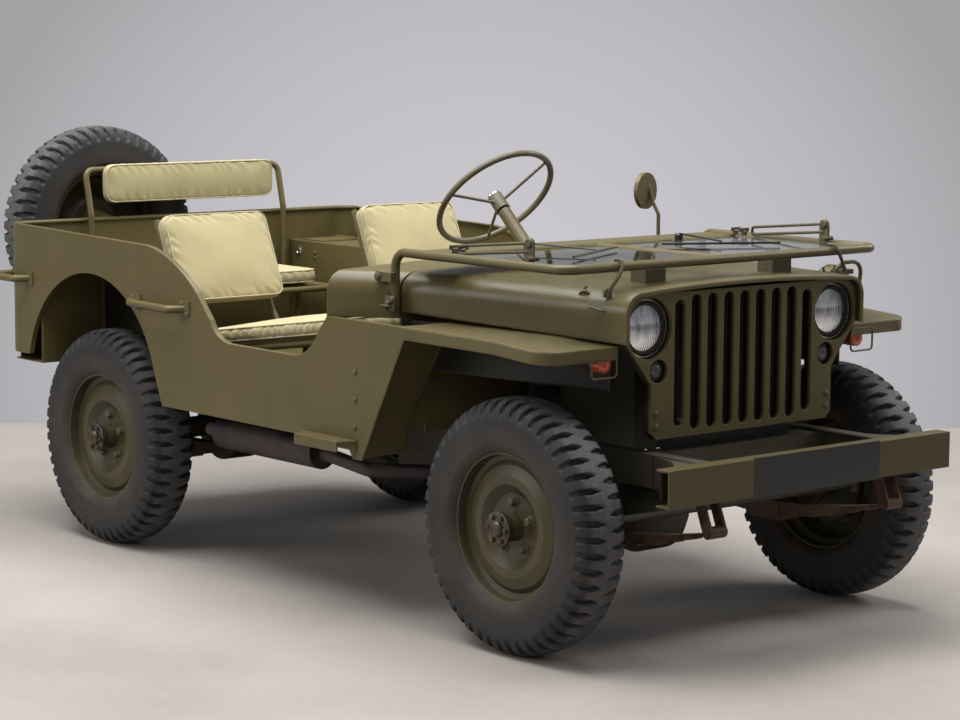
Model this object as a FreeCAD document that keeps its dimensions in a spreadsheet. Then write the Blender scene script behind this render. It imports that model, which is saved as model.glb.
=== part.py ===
"""Open four-wheel-drive army field car, folded windshield, as separate pieces.

Millimetres. Z is up, Y runs to the rear, X to the car's left (driver's) side.
Pieces are drawn from the front axle, with the ground at zero, and their
placement then carries them into the part's frame: the middle of its floor area.
"""
import FreeCAD
import Part
import Sketcher
import math
import os
import re
from types import SimpleNamespace

SIZES = [
    ("front_overhang", 505, "bumper face ahead of the front axle"),
    ("wheelbase", 2032, "front axle to rear axle"),
    ("rear_overhang", 710, "spare tyre's back behind the rear axle"),
    ("track", 1242, "between the wheels' middle planes"),
    ("fit_gap", 0.3, "clearance of pins and seats"),
    ("tyre_radius", 354, "ground to axle"),
    ("tyre_half_width", 81, "middle plane to the sidewall's bulge"),
    ("tread_half_width", 62, "middle plane to the shoulder"),
    ("shoulder_drop", 6, "tread's crown at the shoulder"),
    ("sidewall_bend", 104, "radius of the sidewall's bulge"),
    ("rim_half_width", 62, "middle plane to the flange's outside"),
    ("rim_flange_radius", 221, "rim flange"),
    ("bead_radius", 206, "bead seat"),
    ("well_radius", 187, "drop centre"),
    ("rim_wall", 5, "rim and disc plate"),
    ("disc_crown", 46, "disc's crown outside the middle plane"),
    ("disc_hub_face", 26, "hub face outside the middle plane"),
    ("hub_radius", 37, "hub barrel"),
    ("hub_flange_radius", 48, "drive flange"),
    ("hub_reach", 102, "hub cap outside the middle plane"),
    ("drum_radius", 118, "brake drum"),
    ("spindle_radius", 20, "stub axle"),
    ("kingpin_reach", 518, "steering axis from the middle"),
    ("ball_radius", 56, "axle's ball end"),
    ("knuckle_wall", 10, "knuckle shell"),
    ("axle_tube_radius", 32, "axle tubes"),
    ("diff_radius", 122, "differential housing"),
    ("diff_offset", 160, "differential to the right of the middle"),
    ("steering_arm", 175, "kingpin to the tie rod's eye"),
    ("tie_rod_radius", 11, "tie rod"),
    ("rail_centre", 350, "frame rail from the middle"),
    ("rail_width", 44, "frame rail"),
    ("rail_depth", 92, "frame rail"),
    ("rail_wall", 5, "frame rail plate"),
    ("rail_top", 525, "frame top under the floor"),
    ("horn_top", 556, "frame top over the axles"),
    ("rail_end", 2500, "rear end of the frame"),
    ("kick_run", 300, "length of each rise of the frame"),
    ("front_kick", 150, "where the front horn starts to fall"),
    ("rear_kick", 1790, "where the frame has risen again"),
    ("bumper_half", 555, "half the front bumper"),
    ("bumper_top", 563, "front bumper's upper edge"),
    ("bumper_depth", 102, "front bumper's height"),
    ("bumper_run", 50, "front bumper's flanges, front to back"),
    ("bumper_wall", 6, "front bumper's plate"),
    ("leaf_width", 44, "leaf springs"),
    ("leaf_plate", 7, "one leaf"),
    ("front_spring_half", 470, "half the front spring between eyes"),
    ("rear_spring_half", 480, "half the rear spring between eyes"),
    ("spring_camber", 52, "eyes above the spring's middle"),
    ("spring_eye_radius", 17, "spring eyes"),
    ("body_half_width", 725, "side panels' outside"),
    ("body_rear", 2556, "rear panel's outside"),
    ("body_corner", 65, "rear corners in plan"),
    ("skin", 4, "pressed steel sheet"),
    ("edge_lip", 18, "turned edge of the sheet"),
    ("sill_bottom", 508, "lower edge of the sides"),
    ("tail_bottom", 594, "lower edge behind the rear wheel"),
    ("side_top", 1009, "upper edge behind the door"),
    ("tail_top", 1031, "upper edge at the rear corner"),
    ("tail_roll", 7, "rolled upper edge of the rear panel"),
    ("arch_radius", 395, "rear wheel arch"),
    ("arch_height", 500, "centre of the rear arch"),
    ("door_sill", 739, "lowest edge of the door opening"),
    ("floor_top", 530, "front floor"),
    ("rear_floor_top", 566, "rear floor"),
    ("rear_floor_start", 1480, "step up to the rear floor"),
    ("firewall_at", 572, "front bulkhead"),
    ("dash_at", 745, "instrument panel and front edge of the door opening"),
    ("cowl_top", 1016, "cowl at the middle"),
    ("cowl_front_half", 596, "cowl's half width at the hood"),
    ("cowl_shoulder", 62, "cowl's rounded shoulder"),
    ("fender_top", 869, "fender's flat top at the rear"),
    ("fender_nose_top", 852, "fender's top at its nose"),
    ("fender_nose", 205, "fender's front edge ahead of the axle"),
    ("fender_rear", 409, "where the fender turns down"),
    ("fender_foot", 620, "foot of the fender's rear plate"),
    ("fender_foot_height", 467, "foot of the fender's rear plate"),
    ("fender_lip", 36, "fender's turned-down edge"),
    ("fender_corner", 70, "fender's front corner in plan"),
    ("fender_plate_inner", 500, "inner edge of the fender's rear plate"),
    ("apron_bottom", 725, "lower edge of the engine's side sheets"),
    ("hood_front", 244, "hood's front edge ahead of the axle"),
    ("hood_front_half", 468, "hood's half width at the front"),
    ("hood_rear_half", 590, "hood's half width at the cowl"),
    ("hood_front_top", 1012, "hood's top at the front"),
    ("hood_crown", 14, "rise of the hood's top across its width"),
    ("hood_corner", 58, "hood's rounded sides"),
    ("hood_front_bottom", 860, "hood's lower edge at the front"),
    ("hood_rear_bottom", 888, "hood's lower edge at the cowl"),
    ("hood_nose_lip", 12, "hood's turned-down front edge"),
    ("hood_gap", 4, "hood to cowl and grille"),
    ("hood_hinge", 5, "hood's hinge barrels"),
    ("hood_hinge_half", 200, "half the hood's hinge"),
    ("block_at", 95, "wood blocks ahead of the axle"),
    ("block_reach", 250, "wood blocks from the middle"),
    ("grille_at", 225, "grille's face ahead of the axle"),
    ("grille_bottom", 590, "grille's lower edge"),
    ("grille_low_half", 356, "grille's half width below"),
    ("grille_wall", 26, "depth of the pressed grille"),
    ("slot_count", 9, "slots in the grille"),
    ("slot_pitch", 62.75, "slot to slot"),
    ("slot_half_width", 20, "grille slots"),
    ("slot_bottom", 605, "lower end of the slots"),
    ("slot_top", 980, "upper end of the slots"),
    ("outer_slot_bottom", 618, "lower end of the first and last slot"),
    ("outer_slot_top", 969, "upper end of the first and last slot"),
    ("cheek_low", 739, "where the grille starts to widen"),
    ("cheek_high", 864, "where the grille has its full width"),
    ("lamp_reach", 366, "head lamps from the middle"),
    ("lamp_height", 896, "head lamps' middle"),
    ("lamp_radius", 72, "head lamp's rim"),
    ("lamp_opening", 84, "head lamps' openings in the grille"),
    ("lamp_recess", 18, "head lamps' rims behind the grille's face"),
    ("marker_reach", 330, "marker lamps from the middle"),
    ("marker_height", 777, "marker lamps"),
    ("marker_radius", 26, "marker lamps"),
    ("marker_opening", 33, "marker lamps' openings in the grille"),
    ("screen_half", 614, "windshield's outer tube from the middle"),
    ("screen_tube", 13, "windshield's tube radius"),
    ("screen_plane", 1062, "folded windshield's tubes above ground"),
    ("screen_top_at", 159, "folded windshield's top tube ahead of the axle"),
    ("screen_foot_at", 380, "folded windshield's lower tube behind the axle"),
    ("screen_arm_at", 566, "windshield's arms behind the axle"),
    ("screen_arm_foot", 892, "lower end of the windshield's arms"),
    ("screen_apron_end", 547, "rear edge of the windshield's sheet"),
    ("screen_pivot_at", 613, "windshield's pivots behind the axle"),
    ("screen_pivot_height", 990, "windshield's pivots"),
    ("pane_plate", 6, "glass"),
    ("wheelhouse_inner", 457, "wheelhouse's inner face from the middle"),
    ("wheelhouse_top", 916, "wheelhouse's flat top"),
    ("wheelhouse_front", 1620, "wheelhouse's front at the floor"),
    ("lid_hinge", 632, "tool box lids' hinge line from the middle"),
    ("seat_pivot_height", 24, "front seat's feet pivots above the floor"),
    ("seat_reach", 400, "front seats' middle from the car's middle"),
    ("seat_width", 420, "front seats"),
    ("seat_front", 925, "front cushion's front edge"),
    ("driver_seat_front", 1018, "driver's cushion's front edge"),
    ("seat_rail_inset", 30, "front seats' tubes from the cushion's sides"),
    ("seat_rear", 1600, "front cushions' back edge"),
    ("seat_front_height", 846, "front cushion's top at the front"),
    ("seat_rear_height", 749, "front cushion's top at the rear"),
    ("cushion_thick", 68, "seat cushions"),
    ("back_foot_at", 1653, "backrest cushion's lower edge"),
    ("back_foot_height", 820, "backrest cushion's lower edge"),
    ("back_top_at", 1779, "backrest cushion's upper edge"),
    ("back_top_height", 1110, "backrest cushion's upper edge"),
    ("back_thick", 72, "backrest cushions"),
    ("seat_tube", 11, "seat tubes' radius"),
    ("rear_seat_half", 362, "half the rear seat"),
    ("rear_seat_front", 2225, "rear cushion's front edge"),
    ("rear_seat_rear", 2490, "rear cushion's back edge"),
    ("rear_seat_top", 845, "rear cushion's top"),
    ("rear_back_foot", 1072, "rear backrest's lower edge"),
    ("rear_back_top", 1224, "rear backrest's upper edge"),
    ("rear_back_at", 2500, "rear backrest's front face"),
    ("rear_back_thick", 50, "rear backrest"),
    ("rear_post_reach", 408, "rear seat's posts from the middle"),
    ("rear_post_at", 2524, "rear seat's posts"),
    ("tank_half", 155, "fuel tank's half width"),
    ("tank_front", 1000, "fuel tank's front"),
    ("tank_rear", 1390, "fuel tank's back"),
    ("wheel_centre_at", 1284, "steering wheel behind the front axle"),
    ("wheel_centre_height", 1140, "steering wheel's middle"),
    ("steering_reach", 370, "steering column from the middle"),
    ("steering_wheel_radius", 207, "steering wheel's rim, to the tube's middle"),
    ("steering_rim_radius", 10, "steering wheel's rim, thickness radius"),
    ("column_angle", 43, "steering column above level, degrees"),
    ("column_radius", 22, "steering column's jacket"),
    ("spare_reach", 296, "spare wheel to the right of the middle"),
    ("spare_height", 989, "spare wheel's middle"),
    ("step_top", 523, "foot step"),
    ("step_reach", 62, "foot step past the side"),
    ("muffler_reach", 560, "exhaust to the right of the middle"),
    ("muffler_radius", 52, "muffler"),
    ("pipe_radius", 21, "exhaust pipe"),
    ("engine_half", 150, "engine block's half width"),
    ("engine_front", 60, "engine's front face"),
    ("engine_top", 850, "engine's top"),
]

doc = FreeCAD.newDocument("field_car")
sheet = doc.addObject("Spreadsheet::Sheet", "sizes")
for row, (alias, amount, meaning) in enumerate(SIZES, start=1):
    sheet.set(f"A{row}", meaning)
    sheet.set(f"B{row}", str(amount))
    sheet.setAlias(f"B{row}", alias)
doc.recompute()
size = SimpleNamespace(**{alias: float(sheet.get(alias)) for alias, amount, meaning in SIZES})
NAMES = {alias for alias, amount, meaning in SIZES}
BODY_START = "(front_overhang - wheelbase - rear_overhang) / 2"
LEFT = 1
RIGHT = -1
pieces = []


def bind(text):
    """Write the sheet's name before each of its cells in an expression."""
    return re.sub(r"[a-z]\w*", lambda word: "sizes." + word.group() if word.group() in NAMES else word.group(), text)


def amount_of(text):
    """Work out an expression on the sheet's cells."""
    found = sheet.evalExpression(bind(text))
    return float(getattr(found, "Value", found))


def point(across, along, height):
    return FreeCAD.Vector(across, along, height)


def settle(piece, label, across="0", along="0", height="0", turn=0):
    """Name a sub-part and tie its place to the sheet."""
    piece.Label = label
    piece.Placement = FreeCAD.Placement(point(0, 0, 0), FreeCAD.Rotation(point(0, 0, 1), turn))
    piece.setExpression("Placement.Base.x", bind(across))
    piece.setExpression("Placement.Base.y", bind(f"{BODY_START} + {along}"))
    piece.setExpression("Placement.Base.z", bind(height))
    pieces.append(piece)
    return piece


def formed(label, shape):
    """Keep a shape that was worked out with Part's own functions."""
    piece = doc.addObject("Part::Feature", label)
    piece.Shape = shape
    return settle(piece, label)


def mirrored(shape):
    return shape.mirror(point(0, 0, 0), point(1, 0, 0))


def both(shape):
    """The same form on the left and on the right, as separate solids."""
    return Part.makeCompound([shape, mirrored(shape)])


def fused(first, *rest):
    return first.fuse(list(rest)).removeSplitter()


def block(across, along, height):
    """A box between pairs of limits."""
    corner = point(across[0], along[0], height[0])
    return Part.makeBox(across[1] - across[0], along[1] - along[0], height[1] - height[0], corner)


def rod(start, end, radius):
    way = end - start
    return Part.makeCylinder(radius, way.Length, start, way)


def wire_of(points):
    return Part.makePolygon(list(points) + [points[0]])


def prism(points, way):
    return Part.Face(wire_of(points)).extrude(way)


def side_prism(profile, across):
    """Extrude a closed side profile of (along, height) corners across the car."""
    corners = [point(across[0], along, height) for along, height in profile]
    return prism(corners, point(across[1] - across[0], 0, 0))


def offset_path(path, distance):
    """Shift an open path of (along, height) points to its left, with mitred corners."""
    normals = []
    for (y0, z0), (y1, z1) in zip(path, path[1:]):
        run = math.hypot(y1 - y0, z1 - z0)
        normals.append((-(z1 - z0) / run, (y1 - y0) / run))
    shifted = []
    for index, (along, height) in enumerate(path):
        before = normals[max(index - 1, 0)]
        after = normals[min(index, len(normals) - 1)]
        share = distance / (1 + before[0] * after[0] + before[1] * after[1])
        shifted.append((along + share * (before[0] + after[0]), height + share * (before[1] + after[1])))
    return shifted


def bent_tube(route, radius, bend, hollow=0):
    """A round tube along straight runs joined by tangent arcs of one radius."""
    edges = []
    start = route[0]
    for before, corner, after in zip(route, route[1:], route[2:]):
        way_in = (corner - before).normalize()
        way_out = (after - corner).normalize()
        turn = way_in.getAngle(way_out)
        setback = bend * math.tan(turn / 2)
        first = corner - way_in * setback
        last = corner + way_out * setback
        inward = (way_out - way_in).normalize()
        middle = corner + inward * (bend / math.cos(turn / 2) - bend)
        edges.append(Part.makeLine(start, first))
        edges.append(Part.Arc(first, middle, last).toShape())
        start = last
    edges.append(Part.makeLine(start, route[-1]))
    path = Part.Wire(edges)
    way = (route[1] - route[0]).normalize()
    ring = Part.Wire([Part.makeCircle(radius, route[0], way)])
    return path.makePipeShell([ring], True, True)


def outline(body, name, plane, corners, offset="0"):
    """Draw a closed outline in a body, each corner tied to the sheet.

    A corner is (x, y), or (x, y, bend) where the way to the next corner is an
    arc of that radius, a positive one bulging to the right of the way.
    """
    sketch = body.newObject("Sketcher::SketchObject", name)
    origin = [datum for datum in body.Origin.OriginFeatures if datum.Role == plane][0]
    sketch.AttachmentSupport = [(origin, "")]
    sketch.MapMode = "FlatFace"
    sketch.setExpression("AttachmentOffset.Base.z", bind(offset))
    spots = [(amount_of(corner[0]), amount_of(corner[1])) for corner in corners]
    starts = []
    for index, corner in enumerate(corners):
        x0, y0 = spots[index]
        x1, y1 = spots[(index + 1) % len(spots)]
        if len(corner) == 2:
            sketch.addGeometry(Part.LineSegment(point(x0, y0, 0), point(x1, y1, 0)))
            starts.append((index, 1, 2))
            continue
        radius = amount_of(corner[2])
        chord = math.hypot(x1 - x0, y1 - y0)
        rise = math.sqrt(radius ** 2 - chord ** 2 / 4)
        side = 1 if radius > 0 else -1
        centre_x = (x0 + x1) / 2 - side * rise * (y1 - y0) / chord
        centre_y = (y0 + y1) / 2 + side * rise * (x1 - x0) / chord
        angle0 = math.atan2(y0 - centre_y, x0 - centre_x)
        angle1 = math.atan2(y1 - centre_y, x1 - centre_x)
        circle = Part.Circle(point(centre_x, centre_y, 0), point(0, 0, 1), abs(radius))
        limits = (angle0, angle1) if side > 0 else (angle1, angle0)
        sketch.addGeometry(Part.ArcOfCircle(circle, *limits))
        starts.append((index, 1, 2) if side > 0 else (index, 2, 1))
        named = sketch.addConstraint(Sketcher.Constraint("Radius", index, abs(radius)))
        sketch.renameConstraint(named, f"bend{index}")
        sketch.setExpression(f"Constraints.bend{index}", bind(corner[2].lstrip("-")))
    for index, (edge, begin, finish) in enumerate(starts):
        follower, next_begin, next_finish = starts[(index + 1) % len(starts)]
        sketch.addConstraint(Sketcher.Constraint("Coincident", edge, finish, follower, next_begin))
        for axis, spot, text in zip("XY", spots[index], corners[index]):
            named = sketch.addConstraint(Sketcher.Constraint("Distance" + axis, -1, 1, edge, begin, spot))
            sketch.renameConstraint(named, f"{axis.lower()}{index}")
            sketch.setExpression(f"Constraints.{axis.lower()}{index}", bind(text))
    return sketch


def padded(body, sketch, length, back=False):
    """Pad a sketch by a length tied to the sheet."""
    feature = body.newObject("PartDesign::Pad", sketch.Name + "_pad")
    feature.Profile = sketch
    feature.Reversed = back
    feature.setExpression("Length", bind(length))
    return feature


def pocketed(body, sketch, length, back=False):
    """Cut a sketch into a body by a length tied to the sheet."""
    feature = body.newObject("PartDesign::Pocket", sketch.Name + "_pocket")
    feature.Profile = sketch
    feature.Reversed = back
    feature.setExpression("Length", bind(length))
    return feature


def turned(body, sketch, axis):
    """Turn a sketch once round one of its own axes."""
    feature = body.newObject("PartDesign::Revolution", sketch.Name + "_turned")
    feature.Profile = sketch
    feature.ReferenceAxis = (sketch, [axis])
    feature.Angle = 360
    return feature


def new_body(label):
    return doc.addObject("PartDesign::Body", label)


# Frame

def make_rails():
    """Two channel rails, raised over both axles, open towards the middle, each in three lengths."""
    body = new_body("rail_channel")
    inner = "rail_centre - rail_width / 2"
    start = "bumper_run - front_overhang"
    spots = [
        (start, "horn_top - rail_depth"),
        ("front_kick", "horn_top - rail_depth"),
        ("front_kick + kick_run", "rail_top - rail_depth"),
        ("rear_kick - kick_run", "rail_top - rail_depth"),
        ("rear_kick", "horn_top - rail_depth"),
        ("rail_end", "horn_top - rail_depth"),
        ("rail_end", "horn_top"),
        ("rear_kick", "horn_top"),
        ("rear_kick - kick_run", "rail_top"),
        ("front_kick + kick_run", "rail_top"),
        ("front_kick", "horn_top"),
        (start, "horn_top"),
    ]
    whole = outline(body, "rail_side", "YZ_Plane", spots, inner)
    padded(body, whole, "rail_width")
    lower = [(along, f"{height} + rail_wall") for along, height in spots[:6]]
    upper = [(along, f"{height} - rail_wall") for along, height in spots[6:]]
    hollow = outline(body, "rail_hollow", "YZ_Plane", lower + upper, inner)
    pocketed(body, hollow, "rail_width - rail_wall", back=True)
    doc.recompute()
    joints = [-size.front_overhang, size.front_kick + size.kick_run, size.rear_kick - size.kick_run,
              size.wheelbase + size.rear_overhang]
    lengths = [body.Shape.common(block((0, 900), places, (0, 900))) for places in zip(joints, joints[1:])]
    formed("frame_rail_left", Part.makeCompound(lengths))
    formed("frame_rail_right", mirrored(Part.makeCompound(lengths)))


def make_gussets():
    """Curved gussets from the frame horns out to the bumper's ends."""
    back = size.bumper_run - size.front_overhang
    outer = size.rail_centre + size.rail_width / 2
    reach = size.bumper_half - 14
    hollow = 205
    plate = 5
    tip = point(reach, back, 0)
    root = point(outer, back + hollow, 0)
    middle = point(outer + 56, back + 66, 0)

    def curved(inset, low, high):
        start = tip - point(inset * 2.2, 0, 0)
        end = root - point(0, inset * 2.2, 0)
        edge = Part.Arc(start, middle - point(inset, inset * 0.6, 0), end).toShape()
        corner = point(outer, back, 0)
        loop = Part.Wire([edge, Part.makeLine(end, corner), Part.makeLine(corner, start)])
        face = Part.Face(loop)
        face.translate(point(0, 0, low))
        return face.extrude(point(0, 0, high - low))

    low = size.horn_top - size.rail_depth + 6
    high = size.horn_top - 4
    gusset = curved(0, low, high).cut(curved(plate, low + plate, high - plate))
    return [gusset, mirrored(gusset)]


def make_crossmembers():
    """Tubes and box members between the rails, and the gussets behind the bumper."""
    web = size.rail_centre + size.rail_width / 2 - size.rail_wall
    horn_middle = size.horn_top - size.rail_depth / 2
    low_middle = size.rail_top - size.rail_depth / 2
    room = size.rail_wall + 1
    tube = 24
    front = rod(point(-web, -425, horn_middle), point(web, -425, horn_middle), tube)
    middle = rod(point(-web, 1620, low_middle + 14), point(web, 1620, low_middle + 14), tube)
    wide = (-web, web)
    radiator_bed = block(wide, (-200, -140), (size.horn_top - 70, size.horn_top - 8))
    gearbox_bed = block(wide, (905, 985), (size.rail_top - size.rail_depth + room, size.rail_top - 55))
    tail = block(wide, (size.rail_end - 46, size.rail_end),
                 (size.horn_top - size.rail_depth + room, size.horn_top - room))
    members = [front, radiator_bed, gearbox_bed, middle, tail]
    formed("frame_crossmembers", Part.makeCompound(members + make_gussets()))


def make_bumper():
    """Front bumper: one straight channel, open to the rear."""
    body = new_body("front_bumper")
    face = "-front_overhang"
    back = "bumper_run - front_overhang"
    low = "bumper_top - bumper_depth"
    section = outline(body, "bumper_section", "YZ_Plane", [
        (face, low),
        (back, low),
        (back, f"{low} + bumper_wall"),
        (f"{face} + bumper_wall", f"{low} + bumper_wall"),
        (f"{face} + bumper_wall", "bumper_top - bumper_wall"),
        (back, "bumper_top - bumper_wall"),
        (back, "bumper_top"),
        (face, "bumper_top"),
    ], "-bumper_half")
    padded(body, section, "2 * bumper_half")
    settle(body, "front_bumper")


def make_rear_bumpers():
    """Two short bumperettes on the rail ends."""
    low = size.horn_top - size.rail_depth
    start = size.rail_centre - 85
    outer = block((start, start + 250), (size.rail_end, size.rail_end + 56), (low, size.horn_top))
    wall = size.bumper_wall
    hollow = block((start - wall, start + 250 + wall), (size.rail_end - 1, size.rail_end + 56 - wall),
                   (low + wall, size.horn_top - wall))
    seat = block((start + 60, start + 110), (size.rail_end, size.rail_end + 56), (low, size.horn_top))
    formed("rear_bumpers", both(fused(outer.cut(hollow), seat)))


def make_pintle():
    """Tow pintle in the middle of the rear crossmember: base plate, shank and jaw."""
    height = size.horn_top - size.rail_depth / 2
    face = size.rail_end
    base = block((-55, 55), (face, face + 8), (height - 40, height + 40))
    shank = rod(point(0, face + 8, height), point(0, face + 45, height), 20)
    jaw_at = face + 82
    ring = Part.makeTorus(30, 13, point(0, jaw_at, height), point(1, 0, 0))
    mouth = block((-20, 20), (jaw_at - 8, jaw_at + 12), (height + 12, height + 50))
    formed("pintle_hook", fused(base, shank, ring.cut(mouth)))


# Axles, springs and steering

def make_front_axle():
    """Front axle: tube, differential to the right, ball ends for the knuckles."""
    height = size.tyre_radius
    ball_at = size.kingpin_reach
    tube = rod(point(-ball_at, 0, height), point(ball_at, 0, height), size.axle_tube_radius)
    middle = point(-size.diff_offset, 0, height)
    case = rod(middle - point(52, 0, 0), middle + point(52, 0, 0), size.diff_radius)
    cover = Part.makeSphere(size.diff_radius - 12, middle - point(0, 24, 0))
    snout = Part.makeCone(70, 40, 185, middle + point(0, 50, 0), point(0, 1, 0))
    balls = [Part.makeSphere(size.ball_radius, point(side * ball_at, 0, height)) for side in (LEFT, RIGHT)]
    return formed("front_axle", fused(tube, case, cover, snout, *balls))


def make_rear_axle():
    """Rear axle: tube, differential and the two brake backing plates."""
    height = size.tyre_radius
    along = size.wheelbase
    end = size.track / 2 - 17
    tube = rod(point(-end, along, height), point(end, along, height), size.axle_tube_radius + 3)
    middle = point(-size.diff_offset, along, height)
    case = rod(middle - point(52, 0, 0), middle + point(52, 0, 0), size.diff_radius)
    cover = Part.makeSphere(size.diff_radius - 12, middle + point(0, 24, 0))
    snout = Part.makeCone(40, 70, 185, middle - point(0, 235, 0), point(0, 1, 0))
    plates = []
    stubs = []
    for side in (LEFT, RIGHT):
        plates.append(rod(point(side * (end - 8), along, height), point(side * end, along, height),
                          size.drum_radius + 10))
        stubs.append(rod(point(side * end, along, height),
                         point(side * (size.track / 2 + 78), along, height), size.spindle_radius))
    return formed("rear_axle", fused(tube, case, cover, snout, *plates, *stubs))


def leaf_pack(half, middle_height):
    """Six leaves of falling length, curved to one centre, with eyes at both ends."""
    camber = size.spring_camber
    radius = (half ** 2 + camber ** 2) / (2 * camber)
    count = 6
    leaves = []
    for index in range(count):
        inner = radius + index * size.leaf_plate
        angle = math.asin(half / radius) * (1 - 0.15 * index)
        arcs = []
        for arc_radius in (inner, inner + size.leaf_plate):
            spots = [point(0, arc_radius * math.sin(turn), radius - arc_radius * math.cos(turn))
                     for turn in (-angle, 0, angle)]
            arcs.append(spots)
        upper = Part.Arc(*arcs[0]).toShape()
        lower = Part.Arc(*arcs[1]).toShape()
        ends = [Part.makeLine(arcs[0][0], arcs[1][0]), Part.makeLine(arcs[0][2], arcs[1][2])]
        face = Part.Face(Part.Wire(Part.__sortEdges__([upper, lower] + ends)))
        leaves.append(face.extrude(point(size.leaf_width, 0, 0)))
    for end in (-1, 1):
        eye = point(0, end * half, camber)
        leaves.append(Part.makeCylinder(size.spring_eye_radius, size.leaf_width, eye, point(1, 0, 0)))
    clamp = block((-4, size.leaf_width + 4), (-60, 60), (-size.leaf_plate * count - 14, 0))
    pack = fused(leaves[0], *leaves[1:], clamp)
    pack.translate(point(size.rail_centre - size.leaf_width / 2, 0, middle_height))
    return pack


def make_hangers():
    """Shackles and brackets that carry the spring eyes from the rails."""
    eye_height = size.tyre_radius - size.axle_tube_radius + size.spring_camber
    outer = size.rail_centre + size.leaf_width / 2
    inner = size.rail_centre - size.leaf_width / 2
    plate = 9
    hangers = []
    eyes = [
        (-size.front_spring_half, size.horn_top - size.rail_depth),
        (size.front_spring_half, size.rail_top - size.rail_depth),
        (size.wheelbase - size.rear_spring_half, size.rail_top - size.rail_depth + 8),
        (size.wheelbase + size.rear_spring_half - 16, size.horn_top - size.rail_depth),
    ]
    for along, rail_bottom in eyes:
        lean = 36 if along < 0 else 14
        top = rail_bottom
        for low, high in ((inner - plate, inner), (outer, outer + plate)):
            cheek = side_prism([
                (along - size.spring_eye_radius, eye_height),
                (along + size.spring_eye_radius, eye_height),
                (along + size.spring_eye_radius + lean, top),
                (along - size.spring_eye_radius + lean, top),
            ], (low, high))
            foot = rod(point(low, along, eye_height), point(high, along, eye_height), size.spring_eye_radius)
            hangers.append(fused(cheek, foot))
    return [part for one in hangers for part in (one, mirrored(one))]


def make_springs():
    """Four leaf packs under the axles, shackled at the front and at the rear."""
    seat = size.tyre_radius - size.axle_tube_radius
    front = leaf_pack(size.front_spring_half, seat)
    rear = leaf_pack(size.rear_spring_half, seat - 3)
    rear.translate(point(0, size.wheelbase, 0))
    hangers = make_hangers()
    formed("leaf_springs", Part.makeCompound([front, mirrored(front), rear, mirrored(rear)] + hangers))


def make_knuckle(side, label):
    """Steering knuckle: open shell round the ball, backing plate, stub axle and arm."""
    height = size.tyre_radius
    centre = point(size.kingpin_reach, 0, height)
    inner = size.ball_radius + size.fit_gap
    outer = inner + size.knuckle_wall
    shell = Part.makeSphere(outer, centre).cut(Part.makeSphere(inner, centre))
    open_side = block((centre.x - 2 * outer, centre.x - 6), (-2 * outer, 2 * outer),
                      (height - 2 * outer, height + 2 * outer))
    shell = shell.cut(open_side)
    caps = []
    for way in (-1, 1):
        base = centre + point(0, 0, way * (outer - 4))
        caps.append(Part.makeCylinder(27, 16, base, point(0, 0, way)))
    plate_at = size.track / 2 - 25
    plate = rod(point(plate_at, 0, height), point(plate_at + 8, 0, height), size.drum_radius + 10)
    neck = rod(point(centre.x + inner + 2, 0, height), point(plate_at + 4, 0, height), 48)
    spindle = rod(point(plate_at, 0, height), point(size.track / 2 + 78, 0, height), size.spindle_radius)
    arm_low = height - 6
    arm_high = height + 6
    eye = Part.makeCylinder(15, arm_high - arm_low, point(centre.x, -size.steering_arm, arm_low))
    arm = block((centre.x - 13, centre.x + 13), (-size.steering_arm, -inner - 3), (arm_low, arm_high))
    pin = Part.makeCylinder(6, 30, point(centre.x, -size.steering_arm, arm_high))
    whole = fused(shell, *caps, plate, neck, spindle, arm, eye, pin)
    formed(label, whole if side == LEFT else mirrored(whole))


def make_tie_rod():
    """Tie rod ahead of the axle, an eye on each knuckle's pin."""
    height = size.tyre_radius + 6 + size.fit_gap + 11
    ends = [point(side * size.kingpin_reach, -size.steering_arm, height) for side in (LEFT, RIGHT)]
    bar = rod(ends[0], ends[1], size.tie_rod_radius)
    eyes = [Part.makeCylinder(15, 22, end - point(0, 0, 11)) for end in ends]
    holes = [Part.makeCylinder(6 + size.fit_gap, 40, end - point(0, 0, 20)) for end in ends]
    formed("tie_rod", fused(bar, *eyes).cut(holes))


# Wheels

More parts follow.
